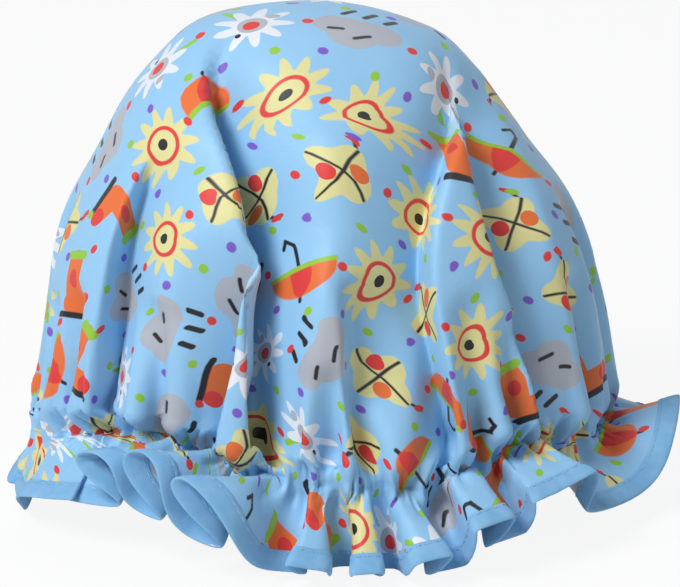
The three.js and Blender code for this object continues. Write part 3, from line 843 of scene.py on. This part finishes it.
@dataclass(frozen=True)
class CoatedPolyester:
    """Printed plain-weave polyester with a clear coat on its back: light cloth with a satin face."""

    flat_size: float
    # Real threads lie 0.2 mm apart; they are drawn coarser so that the weave shows in a render.
    thread_spacing: float = 0.9
    wrinkle_size: float = 11.0
    roughness: float = 0.5
    back_colour: str = "#b9d6ea"
    show_through: float = 0.72

    def material(self, name: str, print_group: bpy.types.NodeTree, back: bool) -> bpy.types.Material:
        """Make the cloth's finish: a soft satin sheen, and a paler back where the ink shows through.

        Args:
            name: The material's name.
            print_group: The print's node group.
            back: Whether this is the cloth's back.

        Returns:
            The material.
        """
        material, tree = bare_material(name)
        flat = add(tree, "ShaderNodeUVMap", uv_map=FLAT_UV)
        place = add(tree, "ShaderNodeVectorMath", {0: flat, "Scale": self.flat_size}, operation="SCALE")
        printed = add(tree, "ShaderNodeGroup", {"Place": place}, node_tree=print_group)
        colour = printed.outputs["Color"]
        if back:
            colour = add(tree, "ShaderNodeMix", {
                0: self.show_through, 6: colour, 7: linear(self.back_colour)}, data_type="RGBA").outputs[2]
        threads = add(tree, "ShaderNodeVectorMath", {
            0: place, "Scale": 2.0 * math.pi / self.thread_spacing}, operation="SCALE")
        waves = add(tree, "ShaderNodeVectorMath", {0: threads}, operation="SINE")
        split = add(tree, "ShaderNodeSeparateXYZ", {0: waves})
        weave = add(tree, "ShaderNodeMath", {
            0: split.outputs["X"], 1: split.outputs["Y"]}, operation="MULTIPLY")
        wrinkle = add(tree, "ShaderNodeTexNoise", {
            "Vector": place, "Scale": 1.0 / self.wrinkle_size, "Detail": 3.0,
            "Roughness": 0.55}, noise_dimensions="2D")
        soft = add(tree, "ShaderNodeBump", {"Strength": 0.35, "Distance": 0.9 * MM, "Height": wrinkle})
        bump = add(tree, "ShaderNodeBump", {
            "Strength": 0.12, "Distance": 0.05 * MM, "Height": weave, "Normal": soft})
        rough = add(tree, "ShaderNodeMapRange", {
            "Value": wrinkle, "To Min": self.roughness - 0.06, "To Max": self.roughness + 0.08})
        shader = add(tree, "ShaderNodeBsdfPrincipled", {
            "Base Color": colour, "Roughness": rough, "Normal": bump, "Specular IOR Level": 0.35,
            "Sheen Weight": 0.12, "Sheen Roughness": 0.4})
        add(tree, "ShaderNodeOutputMaterial", {"Surface": shader})
        return material


@dataclass(frozen=True)
class BiasTape:
    """Plain-weave cotton tape cut on the bias: matte, with threads that cross the edge at 45 degrees."""

    colour: str = "#7fb9e4"
    worn: str = "#a3cdee"
    # Real threads lie 0.3 mm apart; they are drawn coarser so that they show in a render.
    thread_spacing: float = 0.8
    mottle_size: float = 6.0
    rumple_size: float = 3.0
    roughness: float = 0.8

    def material(self) -> bpy.types.Material:
        """Make the tape's finish: matte, with mottled dye and a visible slanting weave.

        Returns:
            The material.
        """
        material, tree = bare_material("bias_tape")
        place = add(tree, "ShaderNodeTexCoord").outputs["Object"]
        flat = add(tree, "ShaderNodeUVMap", uv_map=FLAT_UV)
        turned = add(tree, "ShaderNodeMapping", {
            "Vector": flat, "Rotation": (0.0, 0.0, math.radians(45.0)),
            "Scale": (2.0 * math.pi / self.thread_spacing,) * 3})
        waves = add(tree, "ShaderNodeVectorMath", {0: turned}, operation="SINE")
        split = add(tree, "ShaderNodeSeparateXYZ", {0: waves})
        weave = add(tree, "ShaderNodeMath", {
            0: split.outputs["X"], 1: split.outputs["Y"]}, operation="MULTIPLY")
        mottle = add(tree, "ShaderNodeTexNoise", {
            "Vector": place, "Scale": 1.0 / (self.mottle_size * MM), "Detail": 3.0})
        share = add(tree, "ShaderNodeMapRange", {
            "Value": mottle, "From Min": 0.35, "From Max": 0.75, "To Max": 0.5})
        colour = add(tree, "ShaderNodeMix", {
            0: share, 6: linear(self.colour), 7: linear(self.worn)}, data_type="RGBA")
        rumple = add(tree, "ShaderNodeTexNoise", {
            "Vector": place, "Scale": 1.0 / (self.rumple_size * MM), "Detail": 2.0})
        soft = add(tree, "ShaderNodeBump", {"Strength": 0.4, "Distance": 0.5 * MM, "Height": rumple})
        bump = add(tree, "ShaderNodeBump", {
            "Strength": 0.3, "Distance": 0.06 * MM, "Height": weave, "Normal": soft})
        shader = add(tree, "ShaderNodeBsdfPrincipled", {
            "Base Color": colour.outputs[2], "Roughness": self.roughness, "Normal": bump,
            "Specular IOR Level": 0.25, "Sheen Weight": 0.15, "Sheen Roughness": 0.5})
        add(tree, "ShaderNodeOutputMaterial", {"Surface": shader})
        return material


@dataclass(frozen=True)
class SpunThread:
    """Spun polyester sewing thread or braided yarn: matte, a little hairy, twisted at a steep angle."""

    name: str
    colour: str
    # Darker colour that the twists' grooves get: painted shade.
    groove_shade: str
    twist: float = 0.7
    # Straight bands of a wave texture of scale 1 lie 0.31 units apart, diagonal ones a sixth wider.
    band_spacing: float = 0.31
    roughness: float = 0.7

    def material(self) -> bpy.types.Material:
        """Make the yarn's finish, with fine light and dark twists; the darker colour is painted shade in the
        twists' grooves.

        Returns:
            The material.
        """
        material, tree = bare_material(self.name)
        place = add(tree, "ShaderNodeTexCoord").outputs["Object"]
        twist = add(tree, "ShaderNodeTexWave", {
            "Vector": place, "Scale": self.band_spacing / (self.twist * MM), "Distortion": 2.0,
            "Detail": 2.0}, bands_direction="DIAGONAL")
        # Where the twist's bump is low, in its grooves, the cloth takes the darker colour: painted shade.
        colour = add(tree, "ShaderNodeMix", {
            0: twist.outputs["Fac"], 6: linear(self.groove_shade), 7: linear(self.colour)}, data_type="RGBA")
        bump = add(tree, "ShaderNodeBump", {
            "Strength": 0.3, "Distance": 0.1 * MM, "Height": twist.outputs["Fac"]})
        shader = add(tree, "ShaderNodeBsdfPrincipled", {
            "Base Color": colour.outputs[2], "Roughness": self.roughness, "Normal": bump,
            "Specular IOR Level": 0.3})
        add(tree, "ShaderNodeOutputMaterial", {"Surface": shader})
        return material


def make_piece(name: str, points: np.ndarray, faces: list[tuple[int, ...]], shift: np.ndarray,
               flat: np.ndarray | None = None) -> bpy.types.Object:
    """Make a smooth mesh object at the frame's origin.

    Args:
        name: The piece's name.
        points: Points in millimetres, in the pattern's own place.
        faces: Point numbers of each face.
        shift: The way from the pattern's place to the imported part's.
        flat: A place on the flat material for each point, which becomes the UV map.

    Returns:
        The object.
    """
    mesh = bpy.data.meshes.new(name)
    mesh.from_pydata(((points + shift) * MM).tolist(), [], faces)
    if flat is not None:
        numbers = np.empty(len(mesh.loops), dtype=np.int32)
        mesh.loops.foreach_get("vertex_index", numbers)
        mesh.uv_layers.new(name=FLAT_UV).uv.foreach_set("vector", flat[numbers].astype(np.float32).ravel())
    mesh.shade_smooth()
    piece = bpy.data.objects.new(name, mesh)
    bpy.context.scene.collection.objects.link(piece)
    return piece


def tube_faces(stations: int, corners: int, ring: bool) -> list[tuple[int, ...]]:
    """Return the faces of a tube of closed sections.

    Args:
        stations: Number of sections.
        corners: Points in each section.
        ring: Whether the last section joins the first; otherwise both ends are closed.

    Returns:
        Point numbers of each face.
    """
    faces: list[tuple[int, ...]] = []
    for near in range(stations if ring else stations - 1):
        far = (near + 1) % stations
        for corner in range(corners):
            following = (corner + 1) % corners
            faces.append((near * corners + corner, far * corners + corner,
                          far * corners + following, near * corners + following))
    if not ring:
        faces.append(tuple(range(corners)))
        faces.append(tuple((stations - 1) * corners + corner for corner in reversed(range(corners))))
    return faces


@dataclass(frozen=True)
class CapCloth:
    """The one round cloth that makes the crown and the frill."""

    pattern: CapPattern
    shift: np.ndarray
    fine_band: float = 13.0
    frill_rows: int = 22
    first_step: float = 1.2
    step_growth: float = 1.05
    last_step: float = 3.6
    thickness: float = 0.35
    # Distances from the middle, inside each of which a row has half as many columns.
    thinning: tuple[float, ...] = (105.0, 52.0, 26.0, 12.0)

    def rows(self) -> list[tuple[float, int]]:
        """Place the mesh's rows, close together at the gathers.

        Returns:
            Each row's distance from the flat disc's middle and its number of columns, edge first.
        """
        pattern, step = self.pattern, self.first_step
        places = list(np.linspace(pattern.edge_radius, pattern.gather_radius, self.frill_rows, endpoint=False))
        place = pattern.gather_radius
        while place > self.last_step:
            places.append(place)
            place -= step
            step = min(step * self.step_growth, self.last_step)
        return [(place, 2 * pattern.columns if abs(place - pattern.gather_radius) < self.fine_band
                 else pattern.columns >> sum(place < limit for limit in self.thinning)) for place in places]

    def build(self) -> bpy.types.Object:
        """Build the cloth's mesh, with its flat pattern as UV map.

        Returns:
            The cloth.
        """
        points, flats, faces = [], [], []
        start, before = 0, None
        for rho, count in self.rows():
            deg = np.interp(np.arange(count) / count, *self.pattern.column_spacing)
            row = self.pattern.surface(deg, np.full(count, rho))
            smooth = self.pattern.base(deg, np.full(count, rho))
            gone = lengths_along(np.concatenate((smooth, smooth[:1])))
            angle = np.radians(self.pattern.seam_angle) + 2.0 * math.pi * gone[:-1] / gone[-1]
            points.append(row)
            flats.append(rho * np.stack((np.cos(angle), np.sin(angle)), axis=-1))
            if before is not None:
                faces += self.row_faces(*before, start, count)
            before = (start, count)
            start += count
        points.append(self.pattern.surface(np.zeros(1), np.zeros(1)))
        flats.append(np.zeros((1, 2)))
        last, count = before
        faces += [(last + i, last + (i + 1) % count, start) for i in range(count)]
        flat = np.concatenate(flats) / (2.0 * self.pattern.edge_radius) + 0.5
        return make_piece("cap_cloth", np.concatenate(points), faces, self.shift, flat)

    @staticmethod
    def row_faces(outer: int, outer_count: int, inner: int, inner_count: int) -> list[tuple[int, ...]]:
        """Return the faces between two rows, where one has as many points as the other, or twice as many.

        Args:
            outer: Number of the outer row's first point.
            outer_count: Points in the outer row.
            inner: Number of the inner row's first point.
            inner_count: Points in the inner row.

        Returns:
            Point numbers of each face.
        """
        if outer_count == inner_count:
            nexts = [(i + 1) % outer_count for i in range(outer_count)]
            return [(outer + i, outer + after, inner + after, inner + i) for i, after in enumerate(nexts)]
        widening = inner_count > outer_count
        fine, coarse = (inner, outer) if widening else (outer, inner)
        fine_count, coarse_count = max(outer_count, inner_count), min(outer_count, inner_count)
        faces: list[tuple[int, ...]] = []
        for i in range(coarse_count):
            first, middle, last = fine + 2 * i, fine + 2 * i + 1, fine + (2 * i + 2) % fine_count
            near, far = coarse + i, coarse + (i + 1) % coarse_count
            faces += [(first, middle, near), (middle, far, near), (middle, last, far)]
        return [face[::-1] for face in faces] if widening else faces

    def dress(self, piece: bpy.types.Object, face: bpy.types.Material, back: bpy.types.Material) -> None:
        """Thicken the cloth and give its face and back their finishes.

        Args:
            piece: The cloth.
            face: The finish of its face.
            back: The finish of its back.
        """
        piece.data.materials.append(face)
        piece.data.materials.append(back)
        wall = piece.modifiers.new("cloth_thickness", "SOLIDIFY")
        wall.thickness = self.thickness * MM
        wall.offset = 0.0
        wall.material_offset = 1


@dataclass(frozen=True)
class EdgeBinding:
    """The folded tape that wraps the frill's cut edge."""

    pattern: CapPattern
    shift: np.ndarray
    stations: int = 1100
    stitch_line: float = 5.8
    stitch_lift: float = 0.08
    # The ripple that the stitches leave: its share of the height, its number, and how unevenly it runs.
    ripple: float = 0.16
    ripple_count: float = 197.0
    ripple_stray: float = 2.0
    stray_count: float = 31.0
    lap_angle: float = 98.0
    lap_turn: float = 5.0
    lap_swell: float = 0.55
    # Half of the tape's section: distance back from the cut edge, and height over the cloth's middle.
    section: tuple[tuple[float, float], ...] = (
        (7.0, 0.12), (6.96, 0.42), (6.5, 0.6), (5.8, 0.45), (5.1, 0.62), (3.6, 0.72), (1.6, 0.7),
        (0.5, 0.58), (-0.1, 0.34), (-0.35, 0.0))
    # The place in the section along which the tape's length is measured.
    measured: int = 5

    def height(self, back: float, deg: np.ndarray) -> np.ndarray:
        """Return the tape's height over the cloth, rippled by its stitches and thicker at its lapped join.

        Args:
            back: Distance back from the cut edge.
            deg: Angles.

        Returns:
            Heights.
        """
        backs, heights = zip(*reversed(self.section))
        angle = np.radians(deg)
        stray = self.ripple_stray * np.sin(angle * self.stray_count)
        ripple = self.ripple * np.sin(angle * self.ripple_count + stray)
        lapped = self.lap_swell * (np.abs(turn(self.lap_angle, deg)) < self.lap_turn / 2.0)
        return np.interp(back, backs, heights) * (1.0 + ripple + lapped)

    def line(self, back: float, side: float, lift: float = 0.0) -> np.ndarray:
        """Return a line of points along the tape.

        Args:
            back: Distance back from the cut edge.
            side: 1 on the cloth's face, -1 on its back, 0 in its middle.
            lift: Extra height over the tape.

        Returns:
            Points, one a station.
        """
        deg = self.pattern.seam_angle + np.arange(self.stations) * 360.0 / self.stations
        rho = np.full(self.stations, self.pattern.edge_radius - back)
        height = side * (self.height(back, deg) + lift)
        return self.pattern.surface(deg, rho) + self.pattern.facing(deg, rho) * height[:, None]

    def build(self) -> bpy.types.Object:
        """Build the tape as one closed ring, with its length and width as UV map.

        Returns:
            The tape.
        """
        half = self.section
        lines = [self.line(back, 1.0) for back, _ in half]
        lines += [self.line(back, -1.0) for back, _ in reversed(half[:-1])]
        grid = np.stack(lines, axis=1)
        corners = len(lines)
        edge = lengths_along(lines[self.measured])
        across = [back for back, _ in half] + [-back for back, _ in reversed(half[:-1])]
        flat = np.stack((np.repeat(edge, corners), np.tile(across, self.stations)), axis=-1)
        return make_piece("edge_tape", grid.reshape(-1, 3), tube_faces(self.stations, corners, True),
                          self.shift, flat)


@dataclass(frozen=True)
class ElasticBand:
    """The narrow braided elastic on the inside of the gathers, lapped at the back."""

    pattern: CapPattern
    shift: np.ndarray
    width: float = 5.0
    wall: float = 0.8
    inset: float = 2.6
    lap: float = 12.0
    lap_room: float = 1.1
    lap_angle: float = 90.0
    stations: int = 420
    ribs: int = 5
    steps_a_rib: int = 4
    rib_height: float = 0.16
    stitch_pitch: float = 1.6
    stitch_reach: float = 1.7
    stitch_lift: float = 0.05

    def path(self) -> tuple[np.ndarray, np.ndarray]:
        """Follow the gather line once round, and step in where the band laps over its own start.

        Returns:
            The band's middle points and outward directions, from end to end.
        """
        extra = math.degrees(self.lap / (self.pattern.opening_depth / 2.0))
        deg = self.lap_angle + np.linspace(0.0, 360.0 + extra, self.stations)
        _, out = self.pattern.ring_sides(deg)
        step_in = self.wall * self.lap_room * ease(360.0 - extra, 360.0, deg - self.lap_angle)
        return self.pattern.ring(deg) - out * (self.inset + step_in)[:, None], out

    def zigzag(self) -> np.ndarray:
        """Return the line of the zigzag thread that holds the band, on the band's inner face.

        Returns:
            Points.
        """
        middle, out = self.path()
        gone = lengths_along(middle)
        steps = np.arange(0.0, gone[-1], self.stitch_pitch)
        place, outward = (np.stack([np.interp(steps, gone, row) for row in rows.T], axis=-1)
                          for rows in (middle, out))
        place -= outward * (self.wall / 2.0 + self.stitch_lift)
        place[:, 2] += self.stitch_reach * (-1.0) ** np.arange(len(steps))
        return place

    def build(self) -> bpy.types.Object:
        """Build the band with the ribs of its braid on both faces.

        Returns:
            The band.
        """
        middle, out = self.path()
        across = np.linspace(-1.0, 1.0, self.ribs * self.steps_a_rib + 1)
        swell = self.wall / 2.0 - self.rib_height * np.cos(np.pi * self.ribs * (across + 1.0)) ** 2
        section = np.concatenate((np.stack((across * self.width / 2.0, swell), axis=-1),
                                  np.stack((across[::-1] * self.width / 2.0, -swell[::-1]), axis=-1)))
        up = np.array([0.0, 0.0, 1.0])
        grid = middle[:, None, :] + section[None, :, :1] * up + section[None, :, 1:] * out[:, None, :]
        return make_piece("elastic", grid.reshape(-1, 3),
                          tube_faces(self.stations, len(section), False), self.shift)


class StitchKind(Enum):
    """How a seam's thread shows."""

    STRAIGHT = "straight"
    ZIGZAG = "zigzag"


@dataclass(frozen=True)
class SewnSeam:
    """A row of machine stitches along a line."""

    name: str
    kind: StitchKind
    pitch: float = 3.7
    stitch: float = 2.9
    thread: float = 0.42

    def tree(self) -> bpy.types.NodeTree:
        """Build the Geometry Nodes tree that lays stitches along a line of edges.

        Returns:
            The tree.
        """
        tree = bpy.data.node_groups.new(self.name + "_tree", "GeometryNodeTree")
        for name, kind in (("Seam line", "Geometry"), ("Stitch pitch", "Float"), ("Stitch length", "Float"),
                           ("Thread width", "Float"), ("Thread", "Material")):
            tree.interface.new_socket(name, in_out="INPUT", socket_type="NodeSocket" + kind)
        tree.interface.new_socket("Stitches", in_out="OUTPUT", socket_type="NodeSocketGeometry")
        given = add(tree, "NodeGroupInput").outputs
        line = add(tree, "GeometryNodeMeshToCurve", {"Mesh": given["Seam line"]}).outputs[0]
        if self.kind is StitchKind.STRAIGHT:
            steps = add(tree, "GeometryNodeResampleCurve", {
                "Curve": line, "Length": given["Stitch pitch"]}, mode="LENGTH")
            along = add(tree, "GeometryNodeInputTangent")
            aligned = add(tree, "FunctionNodeAlignRotationToVector", {"Vector": along}, axis="X")
            size = add(tree, "ShaderNodeCombineXYZ", {
                "X": given["Stitch length"], "Y": given["Thread width"], "Z": given["Thread width"]})
            bead = add(tree, "GeometryNodeMeshUVSphere", {"Segments": 8, "Rings": 5, "Radius": 0.5})
            sewn = add(tree, "GeometryNodeInstanceOnPoints", {
                "Points": steps, "Instance": bead.outputs["Mesh"], "Rotation": aligned, "Scale": size})
        else:
            half = add(tree, "ShaderNodeMath", {0: given["Thread width"], 1: 0.5}, operation="MULTIPLY")
            round_thread = add(tree, "GeometryNodeCurvePrimitiveCircle", {"Resolution": 6, "Radius": half})
            sewn = add(tree, "GeometryNodeCurveToMesh", {
                "Curve": line, "Profile Curve": round_thread, "Fill Caps": True})
        real = add(tree, "GeometryNodeRealizeInstances", {0: sewn})
        smooth = add(tree, "GeometryNodeSetShadeSmooth", {0: real})
        dressed = add(tree, "GeometryNodeSetMaterial", {"Geometry": smooth, "Material": given["Thread"]})
        add(tree, "NodeGroupOutput", {0: dressed})
        return tree

    def sew(self, line: np.ndarray, ring: bool, shift: np.ndarray,
            finish: bpy.types.Material) -> bpy.types.Object:
        """Lay the stitches along a line and return them as a plain mesh.

        Args:
            line: Points of the seam.
            ring: Whether the last point joins the first.
            shift: The way from the pattern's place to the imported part's.
            finish: The thread's material.

        Returns:
            The stitches.
        """
        count = len(line)
        thread_path = bpy.data.meshes.new(self.name + "_path")
        thread_path.from_pydata(((line + shift) * MM).tolist(),
                                [(i, (i + 1) % count) for i in range(count if ring else count - 1)], [])
        guide = bpy.data.objects.new(self.name + "_guide", thread_path)
        bpy.context.scene.collection.objects.link(guide)
        nodes = guide.modifiers.new("stitches", "NODES")
        nodes.node_group = self.tree()
        values = {"Stitch pitch": self.pitch * MM, "Stitch length": self.stitch * MM,
                  "Thread width": self.thread * MM, "Thread": finish}
        for socket in nodes.node_group.interface.items_tree:
            if socket.name in values:
                nodes[socket.identifier] = values[socket.name]
        mesh = bpy.data.meshes.new_from_object(guide.evaluated_get(bpy.context.evaluated_depsgraph_get()))
        bpy.data.objects.remove(guide)
        mesh.name = self.name
        piece = bpy.data.objects.new(self.name, mesh)
        bpy.context.scene.collection.objects.link(piece)
        return piece


@dataclass(frozen=True)
class SoftLamp:
    """A square soft lamp: its place and width in metres, and its power in watts."""

    name: str
    place: tuple[float, float, float]
    width: float
    power: float


@dataclass(frozen=True)
class Studio:
    """A pale floor, soft lamps and the camera at the photograph's angle."""

    shift: np.ndarray
    target: tuple[float, float, float] = (6.95, 0.0, 72.8)
    view_width: float = 238.0
    elevation: float = 18.0
    lens: float = 200.0
    sensor: float = 36.0
    floor_size: float = 8.0
    paper_colour: str = "#f4f4f4"
    # Share of plain white that the floor shows the camera; the rest is paper, which keeps the shadow.
    floor_white: float = 0.9
    ambient: float = 0.06
    ambient_tint: str = "#bcd8ff"
    lamps: tuple[SoftLamp, ...] = (
        SoftLamp("key_lamp", (-0.9, -0.95, 1.35), 0.6, 27.0),
        SoftLamp("fill_lamp", (1.3, -0.8, 0.9), 1.0, 3.6),
        SoftLamp("top_lamp", (0.2, 0.6, 1.6), 1.0, 4.5))

    def aim(self) -> Vector:
        """Return the point that the lamps and the camera look at, in metres."""
        return Vector((self.target + self.shift) * MM)

    def build(self) -> None:
        """Set up the floor, the lamps, the world and the camera."""
        self.floor()
        self.world()
        for lamp in self.lamps:
            self.hang(lamp)
        self.camera()
        bpy.context.scene.view_settings.view_transform = "Standard"

    @staticmethod
    def shown(tree: bpy.types.NodeTree) -> bpy.types.NodeSocket:
        """Add the nodes that tell a ray that shows the background from one that lights the cap.

        Args:
            tree: The tree that gets the nodes.

        Returns:
            1 where the background shows, and otherwise 0.
        """
        path = add(tree, "ShaderNodeLightPath").outputs
        seen = add(tree, "ShaderNodeMath", {
            0: path["Is Camera Ray"], 1: path["Is Glossy Ray"]}, operation="MAXIMUM")
        return add(tree, "ShaderNodeMath", {
            0: seen, 1: path["Is Transmission Ray"]}, operation="MAXIMUM").outputs[0]

    def floor(self) -> None:
        """Lay a white floor that shows the cap's shadow."""
        half = self.floor_size / 2.0 / MM
        corners = half * np.array([(-1.0, -1.0, 0.0), (1.0, -1.0, 0.0), (1.0, 1.0, 0.0), (-1.0, 1.0, 0.0)])
        floor = make_piece("studio_floor", corners, [(0, 1, 2, 3)], np.zeros(3))
        # Matte white paper, which gives no gloss back.
        material, tree = bare_material("white_paper")
        paper = add(tree, "ShaderNodeBsdfPrincipled", {
            "Base Color": linear(self.paper_colour), "Roughness": 0.9})
        white = add(tree, "ShaderNodeEmission", {"Color": (1.0, 1.0, 1.0, 1.0), "Strength": 1.0})
        part = add(tree, "ShaderNodeMath", {0: self.shown(tree), 1: self.floor_white}, operation="MULTIPLY")
        mixed = add(tree, "ShaderNodeMixShader", {0: part, 1: paper, 2: white})
        add(tree, "ShaderNodeOutputMaterial", {"Surface": mixed})
        floor.data.materials.append(material)

    def world(self) -> None:
        """Give a plain even light, and white where the camera looks past the floor."""
        world = bpy.data.worlds.new("studio_world")
        world.use_nodes = True
        tree = world.node_tree
        tree.nodes.clear()
        shown = self.shown(tree)
        strength = add(tree, "ShaderNodeMapRange", {"Value": shown, "To Min": self.ambient, "To Max": 1.0})
        tint = add(tree, "ShaderNodeMix", {
            0: shown, 6: linear(self.ambient_tint), 7: linear("#ffffff")}, data_type="RGBA")
        sky = add(tree, "ShaderNodeBackground", {"Color": tint.outputs[2], "Strength": strength})
        add(tree, "ShaderNodeOutputWorld", {"Surface": sky})
        bpy.context.scene.world = world

    def hang(self, lamp: SoftLamp) -> None:
        """Hang a lamp that points at the cap.

        Args:
            lamp: The lamp.
        """
        data = bpy.data.lights.new(lamp.name, "AREA")
        data.size, data.energy = lamp.width, lamp.power
        hung = bpy.data.objects.new(lamp.name, data)
        hung.location = lamp.place
        hung.rotation_euler = (self.aim() - hung.location).to_track_quat("-Z", "Y").to_euler()
        bpy.context.scene.collection.objects.link(hung)

    def camera(self) -> None:
        """Place the camera so that the frame is the photograph's width at the cap's middle."""
        data = bpy.data.cameras.new("camera")
        data.lens, data.sensor_width = self.lens, self.sensor
        away = self.view_width * MM * self.lens / self.sensor
        rise = math.radians(self.elevation)
        camera = bpy.data.objects.new("camera", data)
        camera.location = self.aim() + Vector((0.0, -math.cos(rise), math.sin(rise))) * away
        camera.rotation_euler = (math.pi / 2.0 - rise, 0.0, 0.0)
        bpy.context.scene.collection.objects.link(camera)
        bpy.context.scene.camera = camera


def pattern_shift(pattern: CapPattern) -> np.ndarray:
    """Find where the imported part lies, from its elastic.

    Args:
        pattern: The cap's pattern.

    Returns:
        The way from the pattern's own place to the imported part's.
    """
    low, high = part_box("elastic_band")
    ring = pattern.ring(np.arange(0.0, 360.0, 0.5))
    middle = (ring.min(axis=0) + ring.max(axis=0)) / 2.0
    return np.array([(low.x + high.x) / 2.0 / MM - middle[0],
                     (low.y + high.y) / 2.0 / MM - middle[1], 0.0])


def main() -> None:
    """Build the cap, attach its pieces to the frame's root body in place of the imported parts, and set the
    studio.
    """
    logging.basicConfig(level=logging.INFO)
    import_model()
    pattern = CapPattern()
    shift = pattern_shift(pattern)

    print_group = RainyDayPrint().group()
    polyester = CoatedPolyester(2.0 * pattern.edge_radius)
    cloth_maker = CapCloth(pattern, shift)
    cloth = cloth_maker.build()
    cloth_maker.dress(cloth, polyester.material("printed_polyester_face", print_group, False),
                      polyester.material("printed_polyester_back", print_group, True))

    binding_maker = EdgeBinding(pattern, shift)
    tape = binding_maker.build()
    tape.data.materials.append(BiasTape().material())

    band_maker = ElasticBand(pattern, shift)
    band = band_maker.build()
    braid = SpunThread("braided_elastic", "#f2f2ee", "#cfd2d0", twist=0.9, roughness=0.75)
    band.data.materials.append(braid.material())

    sewing = SpunThread("sewing_thread", "#a9d3f1", "#7fb0d6").material()
    seams = [SewnSeam(name, StitchKind.STRAIGHT).sew(
        binding_maker.line(binding_maker.stitch_line, side, binding_maker.stitch_lift), True, shift, sewing)
        for name, side in (("binding_stitches_face", 1.0), ("binding_stitches_back", -1.0))]
    holding = SewnSeam("elastic_stitches", StitchKind.ZIGZAG).sew(
        band_maker.zigzag(), False, shift, sewing)

    pieces = {cloth: ("printed_cloth", ("crown_fabric", "frill_fabric")),
              tape: ("binding_tape", ("edge_binding",)), band: ("elastic", ("elastic_band",)),
              **{seam: ("binding_tape", ()) for seam in seams}, holding: ("elastic", ())}
    for piece, (slot, nodes) in pieces.items():
        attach(piece, "root")
        if nodes:
            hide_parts(*nodes)
        LOG.info("%s: %d faces", piece.name, len(piece.data.polygons))
    Studio(shift).build()


if __name__ == "__main__":
    main()
